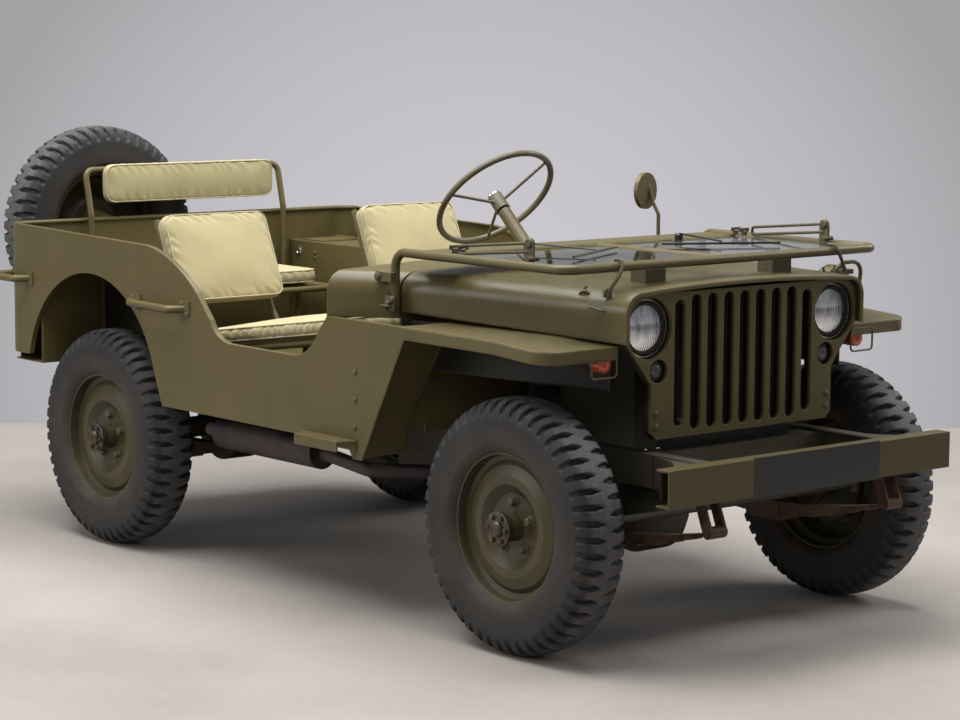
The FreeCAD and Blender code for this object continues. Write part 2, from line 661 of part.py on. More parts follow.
def rim_outline():
    """Rim, disc, hub and brake drum in one section: (outwards, radius) corners."""
    flange = "rim_flange_radius"
    bead = "bead_radius"
    well = "well_radius"
    wall = "rim_wall"
    edge = "rim_half_width"
    face = "disc_hub_face"
    crown = "disc_crown"
    drum = "drum_radius"
    return [
        (f"-{edge}", f"{flange} - {wall}"), (f"-{edge}", flange), (f"7 - {edge}", flange),
        (f"7 - {edge}", bead), ("-25", f"{bead} - 3"), ("-18", well), ("18", well),
        ("25", f"{bead} - 3"), (f"{edge} - 7", bead), (f"{edge} - 7", flange), (edge, flange),
        (edge, f"{flange} - {wall}"), (f"{edge} - 2", f"{bead} - {wall}"), ("30", f"{bead} - 3 - {wall}"),
        ("26", f"{well} - 4"), (f"{crown} - 10", f"{well} - 17"), (crown, f"{well} - 47"),
        (crown, f"{drum}"), (face, f"{drum} - 26"), (face, "hub_radius + 3"),
        ("hub_reach - 26", "hub_radius"), ("hub_reach - 26", "hub_flange_radius"),
        ("hub_reach - 14", "hub_flange_radius"), ("hub_reach - 14", "22"), ("hub_reach", "18"),
        ("hub_reach", "0"), ("hub_reach - 18", "0"), ("hub_reach - 18", "spindle_radius + fit_gap"),
        ("-14", "spindle_radius + fit_gap"), ("-14", "hub_radius + 7"), ("4", "hub_radius + 7"),
        ("4", f"{drum} - 6"), ("-14", f"{drum} - 6"), ("-14", drum), ("10", drum), ("10", "60"),
        (f"{face} - {wall} - 1", "60"), (f"{face} - {wall} - 1", f"{drum} - 25"),
        (f"{crown} - {wall} - 1", f"{drum} + 1"), (f"{crown} - {wall} - 1", f"{well} - 48"),
        (f"{crown} - 15", f"{well} - 20"), ("20", f"{well} - 9"), ("14", f"{well} - {wall}"),
        ("-21", f"{well} - {wall}"), ("-29", f"{bead} - 3 - {wall}"), (f"2 - {edge}", f"{bead} - {wall}"),
    ]


def tyre_outline():
    """Tyre: flat tread, bulged sidewalls and beads that sit on the rim."""
    bead = "bead_radius + fit_gap"
    flange = "rim_flange_radius + fit_gap"
    seat = "rim_half_width - 7 - fit_gap"
    wing = "rim_half_width - 1"
    shoulder = "tyre_radius - shoulder_drop - 10"
    return [
        (f"-({seat})", bead), (seat, bead), (seat, flange), (wing, f"{flange} + 3", "sidewall_bend"),
        ("tread_half_width + 6", shoulder), ("tread_half_width", "tyre_radius - shoulder_drop"),
        ("0", "tyre_radius"), ("-tread_half_width", "tyre_radius - shoulder_drop"),
        ("-tread_half_width - 6", shoulder, "sidewall_bend"), (f"-({wing})", f"{flange} + 3"),
        (f"-({seat})", flange),
    ]


def turned_piece(label, corners, across, along, height, turn):
    """Turn an (outwards, radius) section round the wheel's axis and put it in place."""
    body = new_body(label)
    section = outline(body, label + "_section", "XY_Plane", corners)
    turned(body, section, "H_Axis")
    settle(body, label, across, along, height, turn)


def make_wheels():
    """Four road wheels with their tyres, and the spare on the rear panel."""
    for end, along in (("front", "0"), ("rear", "wheelbase")):
        for hand, side in (("left", LEFT), ("right", RIGHT)):
            across = "track / 2" if side == LEFT else "-track / 2"
            turn = 0 if side == LEFT else 180
            turned_piece(f"wheel_{end}_{hand}", rim_outline(), across, along, "tyre_radius", turn)
            turned_piece(f"tyre_{end}_{hand}", tyre_outline(), across, along, "tyre_radius", turn)
    spare_at = "wheelbase + rear_overhang - tyre_half_width"
    spare_rim = [corner for corner in rim_outline()[:19]] + [
        ("disc_hub_face", "45"), ("disc_hub_face - rim_wall - 1", "45")] + rim_outline()[37:]
    turned_piece("spare_wheel", spare_rim, "-spare_reach", spare_at, "spare_height", 90)
    turned_piece("spare_tyre", tyre_outline(), "-spare_reach", spare_at, "spare_height", 90)


# Power train

def make_power_train():
    """Engine as one block, gearbox with transfer case, shafts and radiator."""
    low = size.rail_top - 20
    block_end = size.firewall_at - 60
    under_floor = size.floor_top - size.skin - 8
    engine = block((-size.engine_half, size.engine_half), (size.engine_front, block_end), (low, size.engine_top))
    bell = Part.makeCone(150, 95, 150, point(0, block_end, low + 60), point(0, 1, 0))
    floor_cut = block((-300, 300), (size.firewall_at - 20, 1400), (size.floor_top - 10, 900))
    bed_top = size.rail_top - 55
    gears = block((-90, 90), (block_end + 150, 900), (low - 80, under_floor))
    tail = block((-70, 70), (890, 985), (bed_top + size.fit_gap, under_floor))
    transfer = block((-235, 60), (840, 1030), (low - 175, low - 67))
    gearbox = fused(bell.cut(floor_cut), gears, tail, transfer)
    height = size.tyre_radius
    shaft_height = low - 110
    across = -size.diff_offset
    snout = 235
    forward = rod(point(across, 840, shaft_height), point(across, snout + 2, height), 24)
    rearward = rod(point(across, 1030, shaft_height), point(across, size.wheelbase - snout - 2, height), 24)
    formed("engine_and_gearbox", Part.makeCompound([engine, gearbox, forward, rearward]))
    core = block((-235, 235), (-178, -122), (size.horn_top - 8, 945))
    tank = block((-215, 215), (-172, -116), (945, 985))
    formed("radiator", fused(core, tank))


def make_exhaust():
    """Exhaust on the right: front pipe, muffler under the side and tail pipe."""
    across = -size.muffler_reach
    height = 424
    side = -size.engine_half - size.fit_gap
    under_rail = size.rail_top - size.rail_depth - size.pipe_radius - 16
    pipe = bent_tube([
        point(side, 400, 640), point(side - 92, 400, 640), point(side - 92, 430, under_rail + 70),
        point(side - 110, 560, under_rail), point(-420, 640, under_rail),
        point(across, 760, under_rail + 4), point(across, 1000, height),
    ], size.pipe_radius, 40)
    can = rod(point(across, 985, height), point(across, 1500, height), size.muffler_radius)
    tail = rod(point(across, 1500, height), point(across, 1580, height), size.pipe_radius)
    formed("exhaust", fused(can, pipe, tail))


def make_tank():
    """Fuel tank under the driver's seat."""
    formed("fuel_tank", block((size.seat_reach - size.tank_half, size.seat_reach + size.tank_half),
                              (size.tank_front, size.tank_rear), (size.floor_top, size.floor_top + 128)))


# Front body

def arch_wire(along, half, bottom, top, corner, crown):
    """Hood-like section: straight sides, rounded shoulders and a crowned top."""
    shoulder = top - crown
    spots = [point(-half, along, bottom), point(-half, along, shoulder - corner)]
    bend = corner * (1 - math.sqrt(0.5))
    left_mid = point(-half + bend, along, shoulder - bend)
    left_top = point(-half + corner, along, shoulder)
    right_top = point(half - corner, along, shoulder)
    right_mid = point(half - bend, along, shoulder - bend)
    right_low = point(half, along, shoulder - corner)
    return Part.Wire([
        Part.makeLine(spots[0], spots[1]),
        Part.Arc(spots[1], left_mid, left_top).toShape(),
        Part.Arc(left_top, point(0, along, top), right_top).toShape(),
        Part.Arc(right_top, right_mid, right_low).toShape(),
        Part.makeLine(right_low, point(half, along, bottom)),
        Part.makeLine(point(half, along, bottom), spots[0]),
    ])


def arch_solid(front, rear):
    return Part.makeLoft([arch_wire(*front), arch_wire(*rear)], True, True)


def hood_sections(inset, drop):
    """The hood's front and rear sections, drawn in by a wall and let down below."""
    front = (-size.hood_front, size.hood_front_half - inset, size.hood_front_bottom - drop,
             size.hood_front_top - inset, size.hood_corner - inset, size.hood_crown)
    rear = (size.firewall_at - size.hood_gap, size.hood_rear_half - inset, size.hood_rear_bottom - drop,
            size.cowl_top - inset, size.hood_corner - inset, size.hood_crown)
    return front, rear


def hood_hinge(low, high, radius):
    """A straight round part of the hood's hinge, between two places across the car."""
    along = size.firewall_at - size.hood_gap / 2
    height = size.cowl_top + 1
    return rod(point(low, along, height), point(high, along, height), radius)


def hood_knuckles(radius, low=71):
    """The hinge's two outer barrels, which belong to the hood."""
    end = size.hood_hinge_half
    return [hood_hinge(low, end, radius), hood_hinge(-end, -low, radius)]


def make_hood():
    """Hood: one pressed sheet with a turned-down front edge and the outer hinge barrels."""
    outer = arch_solid(*hood_sections(0, 0))
    inner = arch_solid(*hood_sections(size.skin, 60))
    nose = Part.Face(arch_wire(-size.hood_front, size.hood_front_half, size.hood_front_bottom,
                               size.hood_front_top, size.hood_corner, size.hood_crown))
    window = Part.Face(arch_wire(-size.hood_front, size.hood_front_half - size.hood_nose_lip,
                                 size.hood_front_bottom - 60, size.hood_front_top - size.hood_nose_lip,
                                 size.hood_corner - size.hood_nose_lip, size.hood_crown))
    lip = nose.cut(window).extrude(point(0, size.skin, 0))
    sheet_metal = fused(outer.cut(inner), lip).cut(hood_hinge(-71, 71, size.hood_hinge + 1))
    end = size.hood_hinge_half + 5
    bore = hood_hinge(-end, end, 2.5 + size.fit_gap)
    formed("hood", fused(sheet_metal, *hood_knuckles(size.hood_hinge)).cut(bore))


def hood_height(along):
    """Height of the hood's top at the middle."""
    share = (along + size.hood_front) / (size.firewall_at - size.hood_gap + size.hood_front)
    return size.hood_front_top + share * (size.cowl_top - size.hood_front_top)


def make_blocks():
    """Two wood blocks on the hood that the folded windshield rests on."""
    wide = 38
    long = 30
    top = size.screen_plane - size.screen_tube - 5
    low = hood_height(-size.block_at) - 5
    outer = arch_solid(*hood_sections(0, 0))
    lift = block((size.block_reach - wide, size.block_reach + wide),
                 (-size.block_at - long, -size.block_at + long), (low - 10, top))
    formed("hood_blocks", both(lift.cut(outer)))


def cowl_solid(inset, drop):
    """The cowl's outer form, drawn in by a wall and let down below."""
    low = size.fender_top - drop
    shape = (size.cowl_top - inset, size.cowl_shoulder - inset, size.hood_crown)
    return arch_solid((size.firewall_at, size.cowl_front_half - inset, low, *shape),
                      (size.dash_at, size.body_half_width - inset, low, *shape))


def make_cowl():
    """Cowl: flared sheet from the hood to the door openings, bulkhead and panel."""
    skin = size.skin
    bulkhead = block((-size.cowl_front_half + 8, size.cowl_front_half - 8),
                     (size.firewall_at, size.firewall_at + skin), (size.floor_top, size.fender_top + 30))
    fender_room = side_prism(
        [(fender_back(height), height) for height in (size.fender_foot_height, size.fender_top)]
        + [(0, size.fender_top), (0, size.fender_foot_height)],
        (size.fender_plate_inner - size.fit_gap, 900))
    bulkhead = bulkhead.cut([fender_room, mirrored(fender_room)])
    inset = skin / 2
    upper = Part.Face(arch_wire(size.firewall_at, size.cowl_front_half - inset, size.fender_top + skin,
                                size.cowl_top - inset, size.cowl_shoulder - inset, size.hood_crown))
    upper = upper.extrude(point(0, skin, 0))
    panel = Part.Face(arch_wire(size.dash_at - skin, size.body_half_width - 10, size.fender_top - 10,
                                size.cowl_top - 2, size.cowl_shoulder - 10, size.hood_crown))
    panel = panel.extrude(point(0, skin, 0)).common(cowl_solid(0, 60))
    lip_room = block((size.body_half_width - size.edge_lip - size.fit_gap, 900),
                     (size.dash_at - 40, size.dash_at + 40), (0, size.fender_top))
    panel = panel.cut([lip_room, mirrored(lip_room)])
    end = size.hood_hinge_half - 1
    pin = hood_hinge(-end, end, 2.5)
    barrel = hood_hinge(-70, 70, size.hood_hinge)
    hinge_room = hood_knuckles(size.hood_hinge + 1, 70)
    shell = cowl_solid(0, 0).cut(cowl_solid(skin, 60)).cut(hinge_room)
    whole = fused(shell, bulkhead, upper.cut(hinge_room), panel, barrel, pin)
    formed("cowl", Part.makeCompound([whole] + make_screen_pivots()))


def fender_path():
    """The fender's top line from its nose to its foot, as (along, height)."""
    return [
        (-size.fender_nose, size.fender_nose_top),
        (0, size.fender_top - 3),
        (size.fender_rear, size.fender_top),
        (size.fender_foot, size.fender_foot_height),
    ]


def fender_back(height):
    """Where a sheet that seats behind the fender's rear plate starts, at a height."""
    share = (size.fender_top - height) / (size.fender_top - size.fender_foot_height)
    return size.fender_rear + share * (size.fender_foot - size.fender_rear) + 1.5 * size.fit_gap


def fender_plan(inset):
    """Plan of the fender: straight outside, rounded front corner, hood-side taper."""
    outer = size.body_half_width - inset
    front = -size.fender_nose + inset
    corner = size.fender_corner - inset
    bend = corner * (1 - math.sqrt(0.5))
    inner_front = size.hood_front_half - 30
    inner_rear = size.hood_rear_half - 26
    rear = size.fender_foot + 60
    return Part.Wire([
        Part.makeLine(point(inner_front, front, 0), point(outer - corner, front, 0)),
        Part.Arc(point(outer - corner, front, 0), point(outer - bend, front + bend, 0),
                 point(outer, front + corner, 0)).toShape(),
        Part.makeLine(point(outer, front + corner, 0), point(outer, rear, 0)),
        Part.makeLine(point(outer, rear, 0), point(size.fender_plate_inner, rear, 0)),
        Part.makeLine(point(size.fender_plate_inner, rear, 0), point(inner_rear, size.firewall_at - 6, 0)),
        Part.makeLine(point(inner_rear, size.firewall_at - 6, 0), point(inner_front, front, 0)),
    ])


def make_fender():
    """Fender: flat top, turned-down outer edge and sloping rear plate, with its apron."""
    path = fender_path()
    lower = offset_path(path, -size.fender_lip)
    wide = (300, size.body_half_width + 10)
    shell = side_prism(path + lower[::-1], wide)
    plan = Part.Face(fender_plan(0)).extrude(point(0, 0, 1200))
    shell = shell.common(plan)
    inner_path = offset_path(path, -size.skin)
    below = offset_path(path, -size.fender_lip - 30)
    inner_path[0] = (inner_path[0][0] - 20, inner_path[0][1])
    below[0] = (below[0][0] - 20, below[0][1])
    hollow = side_prism(inner_path + below[::-1], (200, size.body_half_width + 10))
    core = Part.Face(fender_plan(size.skin)).extrude(point(0, 0, 1200))
    side_strip = block((200, size.fender_plate_inner + 60), (-size.fender_nose + size.skin, size.fender_foot + 50),
                       (0, 1200))
    shell = shell.cut(hollow.common(core.fuse(side_strip)))
    foot = block((0, 900), (300, 900), (0, size.fender_foot_height))
    shell = shell.cut(foot)
    low = size.apron_bottom
    start = -size.fender_nose + 40
    stop = size.firewall_at - 8
    run = (size.hood_rear_half - size.hood_front_half) / (size.firewall_at + size.hood_front)

    def side_at(along):
        return size.hood_front_half - 26 + run * (along + size.hood_front)

    sheet_plan = [point(side_at(start), start, low), point(side_at(start) + size.skin, start, low),
                  point(side_at(stop) + size.skin, stop, low), point(side_at(stop), stop, low)]
    apron = prism(sheet_plan, point(0, 0, 200))
    roof = side_prism([(-400, 3000)] + [(-400, inner_path[0][1])] + inner_path[1:3]
                      + [(900, size.fender_top - size.skin), (900, 3000)], (0, 900))
    grille_room = block((0, 462), (-400, size.grille_wall - size.grille_at + size.fit_gap), (0, 900))
    fender = fused(shell, apron.cut(roof)).cut(grille_room)
    formed("fender_left", fender)
    formed("fender_right", mirrored(fender))


def grille_slots(body, name, count, low, high):
    """A row of upright round-ended slots, evenly spaced about the middle."""
    start = f"-({count} - 1) / 2 * slot_pitch * {'1' if name == 'inner_slot' else '(slot_count - 1)'}"
    bend = "slot_half_width + 0.01"
    slot = outline(body, name, "XZ_Plane", [
        (f"{start} + slot_half_width", f"{low} + slot_half_width"),
        (f"{start} + slot_half_width", f"{high} - slot_half_width", bend),
        (f"{start} - slot_half_width", f"{high} - slot_half_width"),
        (f"{start} - slot_half_width", f"{low} + slot_half_width", bend),
    ], "grille_at - grille_wall")
    cut = pocketed(body, slot, "grille_wall", back=True)
    row = body.newObject("PartDesign::LinearPattern", name + "_row")
    row.Originals = [cut]
    row.Direction = (slot, ["H_Axis"])
    row.setExpression("Length", bind(f"-2 * ({start})"))
    row.setExpression("Occurrences", bind(count))
    body.Tip = row


def make_grille():
    """Stamped grille panel: round lamp openings and nine upright round-ended slots."""
    body = new_body("grille")
    top = "hood_front_top - hood_crown - hood_gap - skin"
    half = "hood_front_half - hood_gap - 2 * skin"
    panel = outline(body, "grille_panel", "XZ_Plane", [
        ("-grille_low_half + 20", "grille_bottom"),
        ("grille_low_half - 20", "grille_bottom"),
        ("grille_low_half", "grille_bottom + 20"),
        ("grille_low_half", "cheek_low"),
        (half, "cheek_high"),
        (half, f"{top} - hood_corner", "hood_corner + 2"),
        (f"{half} - hood_corner", top),
        (f"-({half}) + hood_corner", top, "hood_corner + 2"),
        (f"-({half})", f"{top} - hood_corner"),
        (f"-({half})", "cheek_high"),
        ("-grille_low_half", "cheek_low"),
        ("-grille_low_half", "grille_bottom + 20"),
    ], "grille_at - grille_wall")
    padded(body, panel, "grille_wall")
    eyes = body.newObject("Sketcher::SketchObject", "lamp_openings")
    origin = [datum for datum in body.Origin.OriginFeatures if datum.Role == "XZ_Plane"][0]
    eyes.AttachmentSupport = [(origin, "")]
    eyes.MapMode = "FlatFace"
    eyes.setExpression("AttachmentOffset.Base.z", bind("grille_at - grille_wall"))
    holes = [
        ("lamp_reach", "lamp_height", "lamp_opening"), ("-lamp_reach", "lamp_height", "lamp_opening"),
        ("marker_reach", "marker_height", "marker_opening"),
        ("-marker_reach", "marker_height", "marker_opening"),
    ]
    for index, spots in enumerate(holes):
        x, z, radius = [amount_of(text) for text in spots]
        eyes.addGeometry(Part.Circle(point(x, z, 0), point(0, 0, 1), radius))
        for kind, text, amount in (("DistanceX", spots[0], x), ("DistanceY", spots[1], z)):
            named = eyes.addConstraint(Sketcher.Constraint(kind, -1, 1, index, 3, amount))
            eyes.renameConstraint(named, f"{kind}{index}")
            eyes.setExpression(f"Constraints.{kind}{index}", bind(text))
        named = eyes.addConstraint(Sketcher.Constraint("Radius", index, radius))
        eyes.renameConstraint(named, f"hole{index}")
        eyes.setExpression(f"Constraints.hole{index}", bind(spots[2]))
    pocketed(body, eyes, "grille_wall", back=True)
    grille_slots(body, "inner_slot", "(slot_count - 2)", "slot_bottom", "slot_top")
    grille_slots(body, "outer_slot", "2", "outer_slot_bottom", "outer_slot_top")
    settle(body, "grille")


def make_lamps():
    """Head lamps behind the grille, marker and turn lamps, tail lamps."""
    face = -size.grille_at + size.lamp_recess
    behind = -size.grille_at + size.grille_wall
    centre = point(size.lamp_reach, face, size.lamp_height)
    glass = size.lamp_radius - 8
    rim = Part.makeCylinder(size.lamp_radius, 12, centre, point(0, 1, 0))
    bowl = Part.makeCone(size.lamp_radius - 2, 34, 62, centre + point(0, 12, 0), point(0, 1, 0))
    recess = Part.makeCylinder(glass, 9, centre, point(0, 1, 0))
    ears = block((centre.x - size.lamp_opening - 8, centre.x + size.lamp_opening + 8), (behind, behind + 6),
                 (size.lamp_height - 12, size.lamp_height + 12))
    formed("head_lamps", both(fused(rim, bowl, ears).cut(recess)))
    ball = 190
    dome = Part.makeSphere(ball, centre + point(0, ball - 6, 0))
    lens_room = Part.makeCylinder(glass - size.fit_gap, 15, centre - point(0, 6, 0), point(0, 1, 0))
    formed("head_lamp_lenses", both(dome.common(lens_room)))
    marker_at = point(size.marker_reach, -size.grille_at + 12, size.marker_height)
    marker = Part.makeCylinder(size.marker_radius, 44, marker_at, point(0, 1, 0))
    foot = block((marker_at.x - size.marker_opening - 8, marker_at.x + size.marker_opening + 8),
                 (behind, behind + 5), (size.marker_height - 10, size.marker_height + 10))
    marker = fused(marker, foot)
    turn_at = point(500, -188, 806)
    turn = Part.makeCylinder(23, 50, turn_at, point(0, 1, 0))
    stem = block((turn_at.x - 8, turn_at.x + 8), (turn_at.y + 20, turn_at.y + 36), (turn_at.z, size.fender_top))
    path = fender_path()
    inner_path = offset_path(path, -size.skin / 2)
    roof = side_prism([(-400, 3000), (-400, inner_path[0][1])] + inner_path[:3] + [(409, 3000)], (0, 900))
    turn = fused(turn, stem).cut(roof).cut(doc.getObject("fender_left").Shape)
    tail_at = point(610, size.body_rear, 690)
    tail = Part.makeCylinder(30, 34, tail_at, point(0, 1, 0))
    small = [part for one in (marker, turn, tail) for part in (one, mirrored(one))]
    formed("small_lamps", Part.makeCompound(small))


def make_blackout_lamp():
    """Small shielded lamp on the left fender with its hoop guard."""
    path = fender_path()
    base_height = path[1][1] - 50 / size.fender_nose * (path[1][1] - path[0][1])
    centre = point(562, -60, 960)
    spread = 56
    bowl = Part.makeCylinder(46, 40, centre, point(0, 1, 0))
    back = Part.makeSphere(44, centre + point(0, 34, 0))
    hood_cap = block((centre.x - 40, centre.x + 40), (centre.y - 22, centre.y), (centre.z + 20, centre.z + 34))
    stem = rod(point(centre.x, centre.y + 30, base_height - 4), centre + point(0, 30, -30), 11)
    hoop = bent_tube([
        point(centre.x - spread, centre.y - 20, base_height - 4),
        point(centre.x - spread, centre.y - 40, centre.z + 58),
        point(centre.x + spread, centre.y - 40, centre.z + 58),
        point(centre.x + spread, centre.y - 20, base_height - 4),
    ], 6, 40)
    feet = [Part.makeCylinder(radius, 10, point(centre.x + reach, along, base_height - 4))
            for reach, along, radius in ((-spread, centre.y - 20, 9), (spread, centre.y - 20, 9),
                                         (0, centre.y + 30, 16))]
    below = side_prism([(-400, 0), (-400, path[0][1])] + path[:3] + [(size.fender_rear, 0)], (0, 900))
    lamp = fused(bowl, back, hood_cap, stem, feet[2]).cut(below)
    guard = fused(hoop, feet[0], feet[1]).cut(below)
    formed("blackout_lamp", Part.makeCompound([lamp, guard]))


def make_screen():
    """Windshield folded forward: outer tube, arms to the pivots, middle bar and apron."""
    plane = size.screen_plane
    half = size.screen_half
    tube = size.screen_tube
    top_at = -size.screen_top_at
    arm_at = size.screen_arm_at
    foot_height = size.screen_arm_foot
    hoop = bent_tube([
        point(half, arm_at, foot_height), point(half, arm_at, plane), point(half, top_at, plane),
        point(-half, top_at, plane), point(-half, arm_at, plane), point(-half, arm_at, foot_height),
    ], tube, 45)
    foot = rod(point(-half, size.screen_foot_at, plane), point(half, size.screen_foot_at, plane), tube - 3)
    bar = rod(point(0, top_at, plane), point(0, size.screen_foot_at, plane), tube - 4)
    apron = block((-half + 6, half - 6), (size.screen_foot_at, size.screen_apron_end), (plane - 1.5, plane + 1.5))
    ear_low = half + tube + 7
    ear = rod(point(ear_low, size.screen_pivot_at, size.screen_pivot_height),
              point(ear_low + 6, size.screen_pivot_at, size.screen_pivot_height), 16)
    link = block((ear_low, ear_low + 6), (arm_at - 12, size.screen_pivot_at),
                 (size.screen_pivot_height - 14, size.screen_pivot_height + 14))
    root = block((half + tube - 5, ear_low + 1), (arm_at - 12, arm_at + 12),
                 (size.screen_pivot_height - 14, size.screen_pivot_height + 14))
    hole = rod(point(half, size.screen_pivot_at, size.screen_pivot_height),
               point(half + 60, size.screen_pivot_at, size.screen_pivot_height), 8)
    lug = fused(ear, link, root).cut(hole)
    formed("windshield_frame", fused(hoop, foot, bar, apron, lug, mirrored(lug)))
    edge = half - tube + 4
    front = top_at + tube - 4
    rear = size.screen_foot_at - (tube - 3) + 3
    thick = size.pane_plate / 2
    pane = block((size.screen_tube - 7, edge), (front, rear), (plane - thick, plane + thick))
    pane = pane.cut(hoop).cut(foot).cut(bar)
    formed("windshield_glass", both(pane))


def make_screen_pivots():
    """Bosses on the cowl's flared sides, with the pins of the windshield's arms."""
    along = size.screen_pivot_at
    height = size.screen_pivot_height
    ear_low = size.screen_half + size.screen_tube + 7
    pin = rod(point(ear_low - 40, along, height), point(ear_low + 10, along, height), 8 - size.fit_gap)
    boss = rod(point(ear_low - 40, along, height), point(ear_low - size.fit_gap, along, height), 15)
    pivots = fused(boss, pin).cut(cowl_solid(0, 0))
    return [pivots, mirrored(pivots)]


def make_mirror():
    """Round mirror on a bent rod that stands on the cowl's left shoulder."""
    foot = point(583, size.dash_at - 12, size.cowl_top - size.hood_crown - 12)
    head = point(560, 768, 1183)
    arm = bent_tube([
        foot, point(foot.x, foot.y, 1110), point(head.x + 18, head.y - 12, 1150), head + point(12, -1, 14),
    ], 6, 26)
    plate = Part.makeCylinder(16, 20, foot)
    disc = Part.makeCylinder(58, 14, head - point(0, 6, 0), point(-0.25, 1, 0))
    rod_and_plate = fused(arm, plate).cut(cowl_solid(0, 0))
    formed("mirror", fused(rod_and_plate, disc))


# Tub

def yz(along, height):
    """A point on the plane where the side panels' turned edges end."""
    return point(size.body_half_width - size.edge_lip, along, height)


def side_outline():
    """The side panel's outline with its door opening and rear wheel arch."""
    rear = size.body_rear - size.body_corner - 6
    tail_rise = (size.tail_top - size.side_top) / (size.body_rear - 1690)
    rear_top = size.side_top + tail_rise * (rear - 1690)
    sill = size.door_sill
    arch_dy = size.arch_radius
    front_arch = size.wheelbase - math.sqrt(arch_dy ** 2 - 120 ** 2)
    rear_arch = size.wheelbase + math.sqrt(arch_dy ** 2 - (size.tail_bottom - size.arch_height) ** 2)
    edge = size.dash_at
    fender_head = yz(fender_back(size.fender_top), size.fender_top)
    fender_foot = yz(fender_back(size.fender_foot_height), size.fender_foot_height)
    return Part.Wire([
        Part.makeLine(yz(rear, size.tail_bottom), yz(rear, rear_top)),
        Part.makeLine(yz(rear, rear_top), yz(1690, size.side_top)),
        Part.Arc(yz(1690, size.side_top), yz(1545, size.side_top - 42), yz(1412, size.side_top - 128)).toShape(),
        Part.makeLine(yz(1412, size.side_top - 128), yz(1340, sill + 64)),
        Part.Arc(yz(1340, sill + 64), yz(1297, sill + 19), yz(1240, sill + 1)).toShape(),
        Part.makeLine(yz(1240, sill + 1), yz(905, sill)),
        Part.Arc(yz(905, sill), yz(edge + 91, sill + 25), yz(edge + 45, sill + 76)).toShape(),
        Part.makeLine(yz(edge + 45, sill + 76), yz(edge, size.fender_top)),
        Part.makeLine(yz(edge, size.fender_top), fender_head),
        Part.makeLine(fender_head, fender_foot),
        Part.makeLine(fender_foot, yz(size.fender_foot + 30, size.sill_bottom)),
        Part.makeLine(yz(size.fender_foot + 30, size.sill_bottom), yz(front_arch - 46, size.sill_bottom)),
        Part.makeLine(yz(front_arch - 46, size.sill_bottom), yz(front_arch, size.arch_height + 120)),
        Part.Arc(yz(front_arch, size.arch_height + 120), yz(size.wheelbase, size.arch_height + arch_dy),
                 yz(rear_arch, size.tail_bottom)).toShape(),
        Part.makeLine(yz(rear_arch, size.tail_bottom), yz(rear, size.tail_bottom)),
    ])


def make_sides():
    """Side panels: pressed sheets with turned edges round every opening."""
    edge = side_outline()
    outer = Part.Face(edge)
    inner = Part.Face(edge.makeOffset2D(-size.skin))
    if inner.Area > outer.Area:
        inner = Part.Face(edge.makeOffset2D(size.skin))
    whole = outer.extrude(point(size.edge_lip, 0, 0))
    hollow = inner.extrude(point(size.edge_lip - size.skin, 0, 0))
    panel = whole.cut(hollow)
    formed("side_panel_left", panel)
    formed("side_panel_right", mirrored(panel))


def plan_sweep(half, rear, start, corner, low, high):
    """A solid on a plan that is square at the front and rounded at the rear."""
    bend = corner * (1 - math.sqrt(0.5))
    loop = Part.Wire([
        Part.makeLine(point(-half, start, low), point(half, start, low)),
        Part.makeLine(point(half, start, low), point(half, rear - corner, low)),
        Part.Arc(point(half, rear - corner, low), point(half - bend, rear - bend, low),
                 point(half - corner, rear, low)).toShape(),
        Part.makeLine(point(half - corner, rear, low), point(corner - half, rear, low)),
        Part.Arc(point(corner - half, rear, low), point(bend - half, rear - bend, low),
                 point(-half, rear - corner, low)).toShape(),
        Part.makeLine(point(-half, rear - corner, low), point(-half, start, low)),
    ])
    return Part.Face(loop).extrude(point(0, 0, high - low))


def make_rear_panel():
    """Rear panel with rounded corners and a rolled upper edge."""
    half = size.body_half_width
    rear = size.body_rear
    start = rear - size.body_corner - 6
    low = size.tail_bottom
    outer = plan_sweep(half, rear, start, size.body_corner, low, size.tail_top)
    inner = plan_sweep(half - size.skin, rear - size.skin, start - 1, size.body_corner - size.skin,
                       low - 1, size.tail_top + 1)
    wall = outer.cut(inner)
    roll = size.tail_roll
    edge = size.tail_top - roll
    rail = bent_tube([
        point(half - roll, start, edge), point(half - roll, rear - roll, edge),
        point(roll - half, rear - roll, edge), point(roll - half, start, edge),
    ], roll, size.body_corner - roll)
    formed("rear_panel", fused(wall, rail, make_spare_carrier()))


def make_seat_feet():
    """Ears and pins on the floor that the front seats' feet turn on."""
    feet = []
    height = size.floor_top + size.seat_pivot_height
    half = size.seat_width / 2 - size.seat_rail_inset
    tube = size.seat_tube
    for side, front in ((LEFT, size.driver_seat_front), (RIGHT, size.seat_front)):
        along = front + 30
        for reach in (size.seat_reach - half, size.seat_reach + half):
            place = side * reach
            for low, high in ((place - tube - 6, place - tube - 2), (place + tube + 2, place + tube + 6)):
                feet.append(block((low, high), (along - 14, along + 14), (size.floor_top - 2, height + 14)))
            feet.append(Part.makeCylinder(5, 2 * tube + 12, point(place - tube - 6, along, height), point(1, 0, 0)))
    return feet


